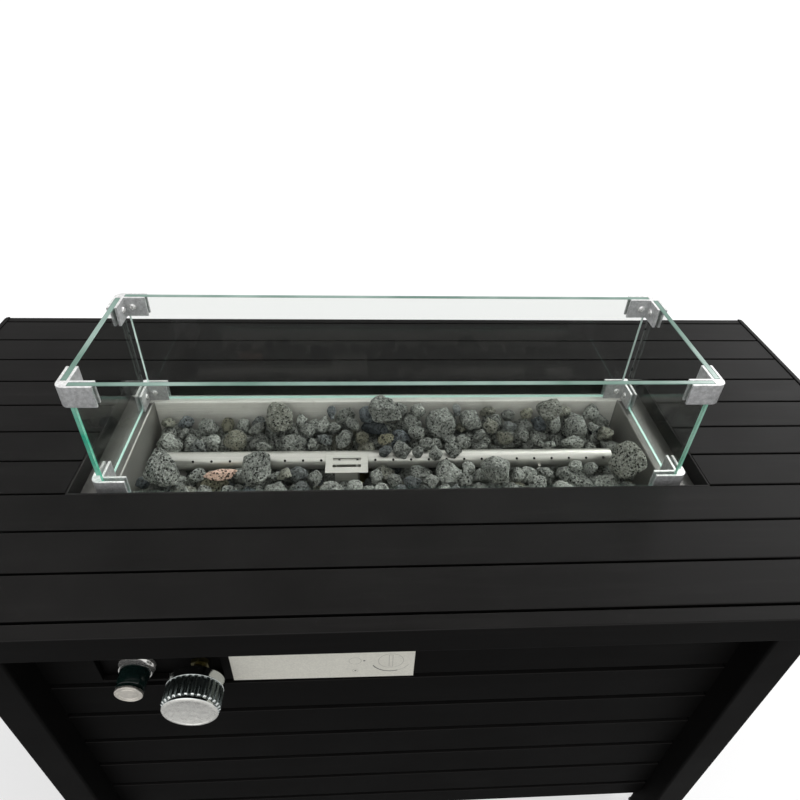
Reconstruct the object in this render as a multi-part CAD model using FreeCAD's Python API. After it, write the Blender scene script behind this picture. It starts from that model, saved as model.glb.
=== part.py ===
import FreeCAD, Part
import math
import os
import random

from FreeCAD import Vector

# Fire pit table: a slatted metal patio table with a sunken steel burner pan full of lava
# rock, a loose glass wind guard, and a slatted base that holds the gas controls and a tank.
# Millimetres. X runs to the right, Y to the back, Z up. The origin is on the floor, under
# the middle of the tabletop.

# Tabletop
TABLE_LENGTH = 1270.0
TABLE_HEIGHT = 620.0
FASCIA_HEIGHT = 38.3
FRONT_RIM_WIDTH = 17.2
BACK_RIM_WIDTH = 11.8
SIDE_RIM_WIDTH = 6.5
SIDE_RIM_RISE = 1.5
SIDE_RIM_CORNER_RADIUS = 5.5
RIM_WALL = 1.6
PLANK_COUNT = 10
FRONT_PLANK_COUNT = 3
OPENING_PLANK_COUNT = 4
PLANK_WIDTH = 53.0
PLANK_GAP = 3.0
PLANK_THICKNESS = 12.0
PLANK_WALL = 0.9
PLANK_END_GAP = 1.0
PLANK_EDGE_EASE = 0.8
BEARER_WIDTH = 40.0
BEARER_WALL = 1.6
OUTER_BEARER_INSET = 35.0

# Burner opening and pan
OPENING_LENGTH = 772.6
FRAME_WALL = 2.0
FRAME_CLEARANCE = 0.4
FRAME_LIP_DROP = 0.5
LEDGE_WIDTH = 16.0
LEDGE_THICKNESS = 2.5
RECESS_DEPTH = 23.4
PAN_SHEET = 1.5
PAN_CLEARANCE = 0.8
FLANGE_END_WIDTH = 40.3
FLANGE_FRONT_WIDTH = 23.6
FLANGE_BACK_WIDTH = 18.8
BOWL_DEPTH = 75.0

# Burner
BURNER_END_SPACE = 37.0
BURNER_DIAMETER = 25.0
BURNER_WALL = 1.2
BURNER_TOP_DROP = 42.0
BURNER_HOLE_COUNT = 25
BURNER_HOLE_PITCH = 24.7
BURNER_HOLE_DIAMETER = 3.5
BURNER_HOLE_TILT = 50.0
END_CAP_THICKNESS = 1.5
END_CAP_SPIGOT = 8.0
SADDLE_X = 205.0
SADDLE_LENGTH = 18.0
SADDLE_WIDTH = 34.0
SADDLE_THICKNESS = 3.0
FIT_CLEARANCE = 0.05

# Gas riser through the pan floor
RISER_X = -40.0
RISER_DIAMETER = 14.0
ELBOW_SIZE = 22.0
ELBOW_DROP = 145.0
HOSE_NUT_DIAMETER = 18.0
HOSE_NUT_LENGTH = 11.0
LOCK_NUT_WIDTH = 24.0
LOCK_NUT_THICKNESS = 6.0

# Pilot parts beside the burner
PILOT_COVER_LENGTH = 57.0
PILOT_COVER_WIDTH = 39.0
PILOT_COVER_SHEET = 1.2
PILOT_COVER_CENTRE_X = -63.5
PILOT_COVER_GAP = 0.5
PILOT_COVER_FRONT = 40.0
PILOT_LEG_WIDTH = 30.0
PILOT_SLOT_LENGTH = 38.0
PILOT_SLOT_WIDTH = 5.0
PILOT_SLOT_PITCH = 13.0
PROBE_SETBACK = 18.6
ELECTRODE_X = -78.0
ELECTRODE_DIAMETER = 6.0
ELECTRODE_TIP_DIAMETER = 2.0
ELECTRODE_TIP_LENGTH = 8.0
THERMOCOUPLE_X = -50.0
THERMOCOUPLE_DIAMETER = 4.0
PROBE_TOP_DROP = 48.0
PROBE_BELOW_PAN = 20.0

# Lava rock
ROCK_LENGTH = 43.0
ROCK_WIDTH = 33.0
ROCK_GAP = 3.5
ROCK_LOWEST = 42.0
ROCK_HIGHEST = 62.0
ROCK_END_SPACE = 12.0
ROCK_SIDES = 6

# Glass wind guard
GUARD_END_GAP = 25.3
GUARD_FRONT_GAP = 15.25
GUARD_HEIGHT = 167.0
GLASS_THICKNESS = 6.5
GUARD_BACK_CLEARANCE = 1.0
CLIP_ARM = 40.0
CLIP_HEIGHT = 27.0
CLIP_PLATE = 3.2
CLIP_SLOT_CLEARANCE = 0.15
CLIP_SOLID = 13.0
CLIP_CORNER_RADIUS = 10.0
CLIP_SCREW_INSET = 22.0
SCREW_HEAD_DIAMETER = 9.5
SCREW_HEAD_HEIGHT = 2.4
SCREW_SHANK_DIAMETER = 4.0

# Base frame
LEG_SIZE = 42.0
LEG_WALL = 2.0
LEG_FROM_OPENING = 17.7
LEG_SETBACK = 14.0
GLIDE_THICKNESS = 8.0
GLIDE_SPIGOT = 15.0
GLIDE_CLEARANCE = 0.1
RAIL_HEIGHT = 30.0
RAIL_DEPTH = 25.0
RAIL_WALL = 2.0
LOWER_RAIL_HEIGHT = 25.0
BOLT_DIAMETER = 8.0
BOLT_HOLE_DIAMETER = 8.4
BOLT_HEAD_DIAMETER = 13.0
BOLT_HEAD_HEIGHT = 5.0
BOLT_LENGTH = 45.0
BOLT_Y = 100.0

# Slat panels
SLAT_RECESS = 32.0
SLAT_THICKNESS = 8.0
SLAT_WALL = 0.8
SLAT_PITCH = 70.0
SLAT_GAP = 9.5
SLAT_END_GAP = 0.5
CONTROL_SLAT_DROP = 171.3
BATTEN_WIDTH = 20.0
BATTEN_THICKNESS = 12.0
BATTEN_WALL = 1.5
BATTEN_INSET = 14.0

# Tank bay
SHELF_THICKNESS = 1.5
SHELF_SIDE_GAP = 0.5
TANK_FROM_LEG = 199.0
TANK_RING_DIAMETER = 224.0
TANK_RING_WALL = 2.0
TANK_RING_HEIGHT = 25.0

# Access door on the right
DOOR_GAP = 3.0
HINGE_HEIGHT = 45.0
HINGE_LEAF = 2.0
HINGE_LEAF_WIDTH = 22.0
HINGE_KNUCKLE_DIAMETER = 8.0
HINGE_PIN_DIAMETER = 4.0
HINGE_GAP = 0.5
HINGE_FROM_RAIL = 52.0
KNUCKLE_END_GAP = 0.2
PULL_DIAMETER = 24.0
PULL_NECK_DIAMETER = 11.0
PULL_LENGTH = 22.0
PULL_HEAD_LENGTH = 9.0
PULL_INSET = 30.0
CATCH_LENGTH = 30.0
CATCH_HEIGHT = 13.0
CATCH_DEPTH = 20.0
CATCH_GAP = 0.3
CATCH_INSET = 55.0

# Controls
CONTROL_DROP = 140.5
KNOB_FROM_LEG = 175.7
IGNITER_FROM_LEG = 105.0
POCKET_FROM_LEG = 64.0
POCKET_LENGTH = 137.0
POCKET_BOTTOM_DROP = 162.0
POCKET_HEIGHT = 81.0
CONTROL_PLATE_SHEET = 1.5
CONTROL_PLATE_MARGIN = 4.0
VALVE_SIZE = 40.0
VALVE_DEPTH = 44.0
VALVE_NECK_DIAMETER = 14.0
VALVE_NECK_REACH = 10.0
VALVE_NUT_WIDTH = 19.0
VALVE_NUT_THICKNESS = 5.0
STEM_DIAMETER = 8.0
STEM_IN_VALVE = 37.0
STEM_TRAVEL = 3.0
STEM_END_COVER = 8.0
KNOB_DIAMETER = 63.0
KNOB_LENGTH = 37.0
KNOB_GAP = 21.5
KNOB_EDGE_EASE = 2.5
KNOB_SKIRT_LENGTH = 11.5
KNOB_COLLAR_LENGTH = 5.0
KNOB_FLUTE_COUNT = 28
KNOB_FLUTE_DIAMETER = 3.0
IGNITER_BEZEL_DIAMETER = 41.2
IGNITER_BEZEL_THICKNESS = 4.0
IGNITER_BEZEL_LIP = 1.2
IGNITER_FLARE_LENGTH = 6.5
IGNITER_BUTTON_DIAMETER = 34.0
IGNITER_BUTTON_REACH = 36.5
IGNITER_CAP_DIAMETER = 30.8
IGNITER_CAP_THICKNESS = 3.0
IGNITER_SLEEVE_DIAMETER = 37.0
IGNITER_SLEEVE_LENGTH = 20.0
IGNITER_TRAVEL = 4.0
IGNITER_BODY_LENGTH = 42.0
IGNITER_NUT_DIAMETER = 46.0
IGNITER_NUT_THICKNESS = 5.0
GAS_INLET_DIAMETER = 15.9
GAS_INLET_LENGTH = 18.0
LABEL_LENGTH = 210.0
LABEL_HEIGHT = 60.0
LABEL_SHEET = 0.6
LABEL_FROM_POCKET = 10.0
LABEL_OVERHANG = 2.0
LABEL_TILT = 0.5

# Hose and leads
HOSE_DIAMETER = 12.0
IGNITION_LEAD_DIAMETER = 3.0
THERMOCOUPLE_LEAD_DIAMETER = 2.5
ARC_SHARE = 0.45

# Places that follow from the sizes above
X, Y, Z = range(3)
AXES = (Vector(1, 0, 0), Vector(0, 1, 0), Vector(0, 0, 1))
OVERRUN = 5.0
PLANK_PITCH = PLANK_WIDTH + PLANK_GAP
TABLE_WIDTH = FRONT_RIM_WIDTH + BACK_RIM_WIDTH + PLANK_COUNT * PLANK_PITCH + PLANK_GAP
HALF_LENGTH = TABLE_LENGTH / 2
HALF_WIDTH = TABLE_WIDTH / 2
UNDERSIDE = TABLE_HEIGHT - FASCIA_HEIGHT
FRONT_RIM_BACK = -HALF_WIDTH + FRONT_RIM_WIDTH
BACK_RIM_FRONT = HALF_WIDTH - BACK_RIM_WIDTH
RIM_INNER_X = HALF_LENGTH - SIDE_RIM_WIDTH
PLANK_END_X = RIM_INNER_X - PLANK_END_GAP
PLANK_BOTTOM = TABLE_HEIGHT - PLANK_THICKNESS


def plank_front(index):
    """Front edge of plank number index, counted from the front."""
    return FRONT_RIM_BACK + PLANK_GAP + index * PLANK_PITCH


FRAME_FRONT = plank_front(FRONT_PLANK_COUNT) - PLANK_GAP + FRAME_CLEARANCE
FRAME_BACK = plank_front(FRONT_PLANK_COUNT + OPENING_PLANK_COUNT) - FRAME_CLEARANCE
FRAME_X = OPENING_LENGTH / 2 + FRAME_WALL
OPENING_FRONT = FRAME_FRONT + FRAME_WALL
OPENING_BACK = FRAME_BACK - FRAME_WALL
OPENING_CENTRE_Y = (OPENING_FRONT + OPENING_BACK) / 2
FLANGE_TOP = TABLE_HEIGHT - RECESS_DEPTH
FLANGE_BOTTOM = FLANGE_TOP - PAN_SHEET
PAN_FLOOR = FLANGE_TOP - BOWL_DEPTH
PAN_UNDERSIDE = PAN_FLOOR - PAN_SHEET
BOWL_FRONT = OPENING_FRONT + FLANGE_FRONT_WIDTH
BOWL_BACK = OPENING_BACK - FLANGE_BACK_WIDTH
BOWL_X = OPENING_LENGTH / 2 - FLANGE_END_WIDTH

BURNER_RADIUS = BURNER_DIAMETER / 2
BURNER_END_X = BOWL_X - BURNER_END_SPACE
BURNER_Y = OPENING_CENTRE_Y
BURNER_Z = TABLE_HEIGHT - BURNER_TOP_DROP - BURNER_RADIUS
RISER_BORE = RISER_DIAMETER / 2 + FIT_CLEARANCE
ELBOW_Z = TABLE_HEIGHT - ELBOW_DROP
PROBE_Y = BURNER_Y - PROBE_SETBACK
PROBE_BOTTOM = PAN_UNDERSIDE - PROBE_BELOW_PAN
PROBE_TOP = TABLE_HEIGHT - PROBE_TOP_DROP
PILOT_COVER_Z = BURNER_Z + BURNER_RADIUS + PILOT_COVER_GAP
PILOT_COVER_Y = BURNER_Y - PILOT_COVER_FRONT

GLASS_BACK = OPENING_BACK - GUARD_BACK_CLEARANCE - CLIP_PLATE - CLIP_SLOT_CLEARANCE
GLASS_FRONT = OPENING_FRONT + GUARD_FRONT_GAP
GLASS_X = OPENING_LENGTH / 2 - GUARD_END_GAP
CLIP_SLOT = GLASS_THICKNESS + 2 * CLIP_SLOT_CLEARANCE
CLIP_WIDTH = 2 * CLIP_PLATE + CLIP_SLOT
CLIP_OFFSET = CLIP_PLATE + CLIP_SLOT_CLEARANCE
GUARD_TOP = FLANGE_TOP + GUARD_HEIGHT

LEG_INNER_X = OPENING_LENGTH / 2 + LEG_FROM_OPENING
LEG_OUTER_X = LEG_INNER_X + LEG_SIZE
LEG_OUTER_Y = HALF_WIDTH - LEG_SETBACK
LEG_INNER_Y = LEG_OUTER_Y - LEG_SIZE
TANK_X = LEG_INNER_X - TANK_FROM_LEG
RAIL_INNER_X = LEG_INNER_X - RAIL_DEPTH
RAIL_INNER_Y = LEG_INNER_Y - RAIL_DEPTH
UPPER_RAIL_BOTTOM = UNDERSIDE - RAIL_HEIGHT
LOWER_RAIL_TOP = LOWER_RAIL_HEIGHT + RAIL_HEIGHT
SLAT_FACE_X = LEG_OUTER_X - SLAT_RECESS
SLAT_FACE_Y = LEG_OUTER_Y - SLAT_RECESS
SLAT_BACK_X = SLAT_FACE_X - SLAT_THICKNESS
SLAT_BACK_Y = SLAT_FACE_Y - SLAT_THICKNESS
PANEL_BOTTOM = LOWER_RAIL_TOP + SLAT_GAP / 2
PANEL_TOP = UPPER_RAIL_BOTTOM - SLAT_GAP / 2
CONTROL_SLAT_LINE = TABLE_HEIGHT - CONTROL_SLAT_DROP
SHELF_TOP = LOWER_RAIL_TOP + SHELF_THICKNESS

HINGE_X = SLAT_FACE_X + HINGE_KNUCKLE_DIAMETER / 2 + HINGE_GAP
HINGE_Y = LEG_INNER_Y - HINGE_KNUCKLE_DIAMETER / 2 - HINGE_GAP
HINGE_BOTTOMS = (LOWER_RAIL_TOP + HINGE_FROM_RAIL,
                 UPPER_RAIL_BOTTOM - HINGE_FROM_RAIL - HINGE_HEIGHT)
CONTROL_Z = TABLE_HEIGHT - CONTROL_DROP
KNOB_X = KNOB_FROM_LEG - LEG_INNER_X
IGNITER_X = IGNITER_FROM_LEG - LEG_INNER_X
POCKET_LEFT = POCKET_FROM_LEG - LEG_INNER_X
POCKET_RIGHT = POCKET_LEFT + POCKET_LENGTH
LABEL_LEFT = POCKET_RIGHT + LABEL_FROM_POCKET
PLATE_FRONT = -SLAT_BACK_Y
PLATE_BACK = PLATE_FRONT + CONTROL_PLATE_SHEET
VALVE_BACK = PLATE_BACK + VALVE_DEPTH
SLEEVE_BACK = PLATE_FRONT + IGNITER_SLEEVE_LENGTH
BEZEL_FLARE_BACK = PLATE_FRONT - IGNITER_BEZEL_THICKNESS
BEZEL_FRONT = BEZEL_FLARE_BACK - IGNITER_FLARE_LENGTH
IGNITER_BODY_BACK = SLEEVE_BACK + IGNITER_BODY_LENGTH
KNOB_BACK = PLATE_FRONT - KNOB_GAP
KNOB_FRONT = KNOB_BACK - KNOB_LENGTH
STEM_FRONT = KNOB_FRONT + STEM_END_COVER
STEM_BACK = PLATE_BACK + STEM_IN_VALVE - STEM_TRAVEL - FIT_CLEARANCE
HOSE_NUT_END = RISER_X - ELBOW_SIZE / 2 - HOSE_NUT_LENGTH
VALVE_OUTLET_END = VALVE_BACK + HOSE_NUT_LENGTH


def box(x, y, z):
    """Box between the two values given for each direction."""
    low = [min(span) for span in (x, y, z)]
    size = [max(span) - min(span) for span in (x, y, z)]
    return Part.makeBox(size[X], size[Y], size[Z], Vector(*low))


def rod(start, length, radius, axis):
    """Cylinder from a point, along one of the three axes."""
    return Part.makeCylinder(radius, length, Vector(*start), AXES[axis])


def hollow_bar(x, y, z, wall, axis):
    """Square tube between the values given, open at both ends of its axis."""
    inside = []
    for index, span in enumerate((x, y, z)):
        change = OVERRUN if index == axis else -wall
        inside.append((min(span) - change, max(span) + change))
    return box(x, y, z).cut(box(*inside))


def ring(start, length, outer, inner, axis):
    """Tube from a point, along one of the three axes."""
    bore_start = Vector(*start) - AXES[axis] * OVERRUN
    bore = rod(bore_start, length + 2 * OVERRUN, inner, axis)
    return rod(start, length, outer, axis).cut(bore)


def hexagon(start, length, width, bore, axis):
    """Hexagonal nut of a width across its flats, with a round bore."""
    corner = width / math.sqrt(3)
    first, second = AXES[(axis + 1) % 3], AXES[(axis + 2) % 3]
    points = []
    for step in range(7):
        angle = math.radians(60 * step)
        points.append(Vector(*start) + first * corner * math.cos(angle)
                      + second * corner * math.sin(angle))
    nut = Part.Face(Part.makePolygon(points)).extrude(AXES[axis] * length)
    bore_start = Vector(*start) - AXES[axis] * OVERRUN
    return nut.cut(rod(bore_start, length + 2 * OVERRUN, bore, axis))


def ease_edges(shape, size, chosen):
    """Chamfers the edges that the test picks."""
    edges = [edge for edge in shape.Edges if chosen(edge)]
    return shape.makeChamfer(size, edges)


def save(node, *solids):
    """Writes one node, with each of its pieces as a separate solid."""
    Part.Compound(list(solids)).exportStep(os.path.join("parts", node + ".step"))


def is_top_long_edge(edge):
    bounds = edge.BoundBox
    return bounds.XLength > bounds.YLength and bounds.ZMin > TABLE_HEIGHT - PLANK_EDGE_EASE


def plank(index, x_start, x_end):
    """Hollow deck plank with its long top edges eased."""
    front = plank_front(index)
    bar = hollow_bar((x_start, x_end), (front, front + PLANK_WIDTH),
                     (PLANK_BOTTOM, TABLE_HEIGHT), PLANK_WALL, X)
    return ease_edges(bar, PLANK_EDGE_EASE, is_top_long_edge)


def make_planks():
    opening_end = FRAME_X + FRAME_CLEARANCE
    behind_opening = FRONT_PLANK_COUNT + OPENING_PLANK_COUNT
    beside = range(FRONT_PLANK_COUNT, behind_opening)
    save("front_planks", *[plank(i, -PLANK_END_X, PLANK_END_X)
                           for i in range(FRONT_PLANK_COUNT)])
    save("back_planks", *[plank(i, -PLANK_END_X, PLANK_END_X)
                          for i in range(behind_opening, PLANK_COUNT)])
    save("left_planks", *[plank(i, -PLANK_END_X, -opening_end) for i in beside])
    save("right_planks", *[plank(i, opening_end, PLANK_END_X) for i in beside])


def make_rims():
    """Hollow front and back rims, and solid side rims with rounded corners."""
    heights = (UNDERSIDE, TABLE_HEIGHT)
    across = (-RIM_INNER_X, RIM_INNER_X)
    front = hollow_bar(across, (-HALF_WIDTH, FRONT_RIM_BACK), heights, RIM_WALL, X)
    back = hollow_bar(across, (BACK_RIM_FRONT, HALF_WIDTH), heights, RIM_WALL, X)
    save("front_rim", ease_edges(front, PLANK_EDGE_EASE, is_top_long_edge))
    save("back_rim", ease_edges(back, PLANK_EDGE_EASE, is_top_long_edge))
    rims = []
    for side in (-1, 1):
        outer_x = side * HALF_LENGTH
        bar = box((side * RIM_INNER_X, outer_x), (-HALF_WIDTH, HALF_WIDTH),
                  (UNDERSIDE, TABLE_HEIGHT + SIDE_RIM_RISE))
        corners = [edge for edge in bar.Edges
                   if edge.BoundBox.ZLength > FASCIA_HEIGHT / 2
                   and abs(edge.BoundBox.Center.x - outer_x) < SIDE_RIM_WIDTH / 2]
        rims.append(bar.makeFillet(SIDE_RIM_CORNER_RADIUS, corners))
    save("side_rims", *rims)


def bolt_holes(shape):
    """Cuts the holes of the bolts that join the top to the base."""
    for x, y in bolt_places():
        hole = rod((x, y, UPPER_RAIL_BOTTOM - OVERRUN), BOLT_LENGTH + 2 * OVERRUN,
                   BOLT_HOLE_DIAMETER / 2, Z)
        shape = shape.cut(hole)
    return shape


def bolt_places():
    """Where a side rail and the bearer above it overlap, twice on each side."""
    x = (FRAME_X + LEG_INNER_X) / 2
    return [(side_x * x, side_y * BOLT_Y) for side_x in (-1, 1) for side_y in (-1, 1)]


def make_bearers():
    """Bars under the planks, and the bolts that hold the top on its base."""
    heights = (UNDERSIDE, PLANK_BOTTOM)
    along = (FRONT_RIM_BACK, BACK_RIM_FRONT)
    outer = RIM_INNER_X - OUTER_BEARER_INSET
    cross = []
    for side in (-1, 1):
        inner_bar = hollow_bar((side * FRAME_X, side * (FRAME_X + BEARER_WIDTH)),
                               along, heights, BEARER_WALL, Y)
        cross.append(bolt_holes(inner_bar))
        cross.append(hollow_bar((side * (outer - BEARER_WIDTH), side * outer),
                                along, heights, BEARER_WALL, Y))
    save("cross_bearers", *cross)
    middle = (-BEARER_WIDTH / 2, BEARER_WIDTH / 2)
    save("short_bearers",
         hollow_bar(middle, (FRONT_RIM_BACK, FRAME_FRONT), heights, BEARER_WALL, Y),
         hollow_bar(middle, (FRAME_BACK, BACK_RIM_FRONT), heights, BEARER_WALL, Y))
    bolts = []
    for x, y in bolt_places():
        head = rod((x, y, UPPER_RAIL_BOTTOM - BOLT_HEAD_HEIGHT), BOLT_HEAD_HEIGHT,
                   BOLT_HEAD_DIAMETER / 2, Z)
        bolts.append(head.fuse(rod((x, y, UPPER_RAIL_BOTTOM), BOLT_LENGTH,
                                   BOLT_DIAMETER / 2, Z)).removeSplitter())
    save("base_bolts", *bolts)


def make_opening_frame():
    """Upright walls round the opening, with a ledge inside that carries the pan."""
    bottom = FLANGE_BOTTOM - LEDGE_THICKNESS
    outside = box((-FRAME_X, FRAME_X), (FRAME_FRONT, FRAME_BACK),
                  (bottom, TABLE_HEIGHT - FRAME_LIP_DROP))
    opening_x = FRAME_X - FRAME_WALL
    well = box((-opening_x, opening_x), (OPENING_FRONT, OPENING_BACK),
               (FLANGE_BOTTOM, TABLE_HEIGHT))
    hole_x = opening_x - LEDGE_WIDTH
    hole = box((-hole_x, hole_x),
               (OPENING_FRONT + LEDGE_WIDTH, OPENING_BACK - LEDGE_WIDTH),
               (bottom - OVERRUN, TABLE_HEIGHT))
    save("opening_frame", outside.cut(well).cut(hole))


def make_fire_pan():
    """Pressed pan: a flange that lies on the ledge, and a bowl below it."""
    flange_x = FRAME_X - FRAME_WALL - PAN_CLEARANCE
    flange = box((-flange_x, flange_x),
                 (OPENING_FRONT + PAN_CLEARANCE, OPENING_BACK - PAN_CLEARANCE),
                 (FLANGE_BOTTOM, FLANGE_TOP))
    bowl = box((-BOWL_X - PAN_SHEET, BOWL_X + PAN_SHEET),
               (BOWL_FRONT - PAN_SHEET, BOWL_BACK + PAN_SHEET),
               (PAN_UNDERSIDE, FLANGE_TOP))
    inside = box((-BOWL_X, BOWL_X), (BOWL_FRONT, BOWL_BACK), (PAN_FLOOR, FLANGE_TOP + OVERRUN))
    pan = flange.fuse(bowl).cut(inside).removeSplitter()
    holes = ((RISER_X, BURNER_Y, RISER_BORE),
             (ELECTRODE_X, PROBE_Y, ELECTRODE_DIAMETER / 2 + FIT_CLEARANCE),
             (THERMOCOUPLE_X, PROBE_Y, THERMOCOUPLE_DIAMETER / 2 + FIT_CLEARANCE))
    for x, y, radius in holes:
        pan = pan.cut(rod((x, y, PAN_UNDERSIDE - OVERRUN), PAN_SHEET + 2 * OVERRUN, radius, Z))
    save("fire_pan", pan)


def make_burner():
    """Drilled burner tube, its end caps, its saddles on the pan floor."""
    half = BURNER_END_X - END_CAP_THICKNESS
    bore = BURNER_RADIUS - BURNER_WALL
    tube = ring((-half, BURNER_Y, BURNER_Z), 2 * half, BURNER_RADIUS, bore, X)
    tilt = math.radians(BURNER_HOLE_TILT)
    upward = Vector(0, -math.sin(tilt), math.cos(tilt))
    for index in range(BURNER_HOLE_COUNT):
        x = (index - (BURNER_HOLE_COUNT - 1) / 2) * BURNER_HOLE_PITCH
        tube = tube.cut(Part.makeCylinder(BURNER_HOLE_DIAMETER / 2, BURNER_DIAMETER,
                                          Vector(x, BURNER_Y, BURNER_Z), upward))
    tube = tube.cut(rod((RISER_X, BURNER_Y, BURNER_Z - BURNER_DIAMETER), BURNER_DIAMETER,
                        RISER_BORE, Z))
    save("burner_tube", tube)

    caps = []
    for side in (-1, 1):
        disc = rod((half if side > 0 else -half - END_CAP_THICKNESS, BURNER_Y, BURNER_Z),
                   END_CAP_THICKNESS, BURNER_RADIUS, X)
        spigot = rod((half - END_CAP_SPIGOT if side > 0 else -half, BURNER_Y, BURNER_Z),
                     END_CAP_SPIGOT, bore - FIT_CLEARANCE, X)
        caps.append(disc.fuse(spigot).removeSplitter())
    save("burner_end_caps", *caps)

    saddles = []
    seat_radius = BURNER_RADIUS + FIT_CLEARANCE
    for side in (-1, 1):
        x = (side * SADDLE_X - SADDLE_LENGTH / 2, side * SADDLE_X + SADDLE_LENGTH / 2)
        foot = box(x, (BURNER_Y - SADDLE_WIDTH / 2, BURNER_Y + SADDLE_WIDTH / 2),
                   (PAN_FLOOR, PAN_FLOOR + SADDLE_THICKNESS))
        web = box((side * SADDLE_X - SADDLE_THICKNESS / 2, side * SADDLE_X + SADDLE_THICKNESS / 2),
                  (BURNER_Y - SADDLE_WIDTH / 2, BURNER_Y + SADDLE_WIDTH / 2),
                  (PAN_FLOOR, BURNER_Z))
        seat = rod((x[0] - OVERRUN, BURNER_Y, BURNER_Z), SADDLE_LENGTH + 2 * OVERRUN,
                   seat_radius, X)
        saddles.append(foot.fuse(web).cut(seat).removeSplitter())
    save("burner_saddles", *saddles)


def make_riser():
    """Gas pipe from the elbow below the pan up into the burner, and its lock nuts."""
    burner_entry = BURNER_Z - BURNER_RADIUS + BURNER_WALL
    pipe = rod((RISER_X, BURNER_Y, ELBOW_Z), burner_entry - ELBOW_Z, RISER_DIAMETER / 2, Z)
    half = ELBOW_SIZE / 2
    elbow = box((RISER_X - half, RISER_X + half), (BURNER_Y - half, BURNER_Y + half),
                (ELBOW_Z - half, ELBOW_Z + half))
    union = rod((HOSE_NUT_END, BURNER_Y, ELBOW_Z), HOSE_NUT_LENGTH, HOSE_NUT_DIAMETER / 2, X)
    save("gas_riser", pipe.fuse(elbow).fuse(union).removeSplitter())
    nuts = [hexagon((RISER_X, BURNER_Y, z), LOCK_NUT_THICKNESS, LOCK_NUT_WIDTH, RISER_BORE, Z)
            for z in (PAN_FLOOR, PAN_UNDERSIDE - LOCK_NUT_THICKNESS)]
    save("riser_lock_nuts", *nuts)


def make_pilot_parts():
    """Slotted cover over the pilot, spark electrode and thermocouple."""
    left = PILOT_COVER_CENTRE_X - PILOT_COVER_LENGTH / 2
    plate = box((left, left + PILOT_COVER_LENGTH),
                (PILOT_COVER_Y, PILOT_COVER_Y + PILOT_COVER_WIDTH),
                (PILOT_COVER_Z, PILOT_COVER_Z + PILOT_COVER_SHEET))
    leg_left = PILOT_COVER_CENTRE_X - PILOT_LEG_WIDTH / 2
    leg = box((leg_left, leg_left + PILOT_LEG_WIDTH),
              (PILOT_COVER_Y, PILOT_COVER_Y + PILOT_COVER_SHEET),
              (PAN_FLOOR, PILOT_COVER_Z + PILOT_COVER_SHEET))
    cover = plate.fuse(leg).removeSplitter()
    middle_y = PILOT_COVER_Y + PILOT_COVER_WIDTH / 2
    for side in (-1, 1):
        slot_y = middle_y + side * PILOT_SLOT_PITCH / 2
        cover = cover.cut(box((PILOT_COVER_CENTRE_X - PILOT_SLOT_LENGTH / 2,
                               PILOT_COVER_CENTRE_X + PILOT_SLOT_LENGTH / 2),
                              (slot_y - PILOT_SLOT_WIDTH / 2, slot_y + PILOT_SLOT_WIDTH / 2),
                              (PILOT_COVER_Z - OVERRUN, PILOT_COVER_Z + OVERRUN)))
    save("pilot_cover", cover)

    height = PROBE_TOP - PROBE_BOTTOM
    ceramic = rod((ELECTRODE_X, PROBE_Y, PROBE_BOTTOM), height - ELECTRODE_TIP_LENGTH,
                  ELECTRODE_DIAMETER / 2, Z)
    tip = rod((ELECTRODE_X, PROBE_Y, PROBE_TOP - ELECTRODE_TIP_LENGTH), ELECTRODE_TIP_LENGTH,
              ELECTRODE_TIP_DIAMETER / 2, Z)
    save("spark_electrode", ceramic.fuse(tip).removeSplitter())
    save("thermocouple", rod((THERMOCOUPLE_X, PROBE_Y, PROBE_BOTTOM), height,
                             THERMOCOUPLE_DIAMETER / 2, Z))


def rock(x, y, length, width, height, chance):
    """Angular stone that stands on the pan floor."""
    levels = ((0.0, 0.66), (0.45, 1.0), (1.0, 0.52))
    rings = []
    for share, spread in levels:
        points = []
        for step in range(ROCK_SIDES):
            angle = 2 * math.pi * (step + chance.uniform(-0.2, 0.2)) / ROCK_SIDES
            reach = spread * chance.uniform(0.84, 1.0) / 2
            points.append(Vector(x + length * reach * math.cos(angle),
                                 y + width * reach * math.sin(angle),
                                 PAN_FLOOR + height * share))
        rings.append(points)
    faces = [Part.Face(Part.makePolygon(points + points[:1])) for points in (rings[0], rings[-1])]
    for low, high in zip(rings, rings[1:]):
        for step in range(ROCK_SIDES):
            following = (step + 1) % ROCK_SIDES
            corners = (low[step], low[following], high[following], high[step])
            for triangle in ((0, 1, 2), (0, 2, 3)):
                points = [corners[i] for i in triangle]
                faces.append(Part.Face(Part.makePolygon(points + points[:1])))
    return Part.Solid(Part.Shell(faces))


def blocks_fittings(x, y):
    """True where a rock would stand under the pilot cover or touch its leg."""
    reach_x = ROCK_LENGTH / 2 + ROCK_GAP / 2
    reach_y = ROCK_WIDTH / 2 + ROCK_GAP / 2
    near_cover = abs(x - PILOT_COVER_CENTRE_X) < PILOT_COVER_LENGTH / 2 + reach_x
    return near_cover and y < BURNER_Y and y + reach_y > PILOT_COVER_Y


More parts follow.
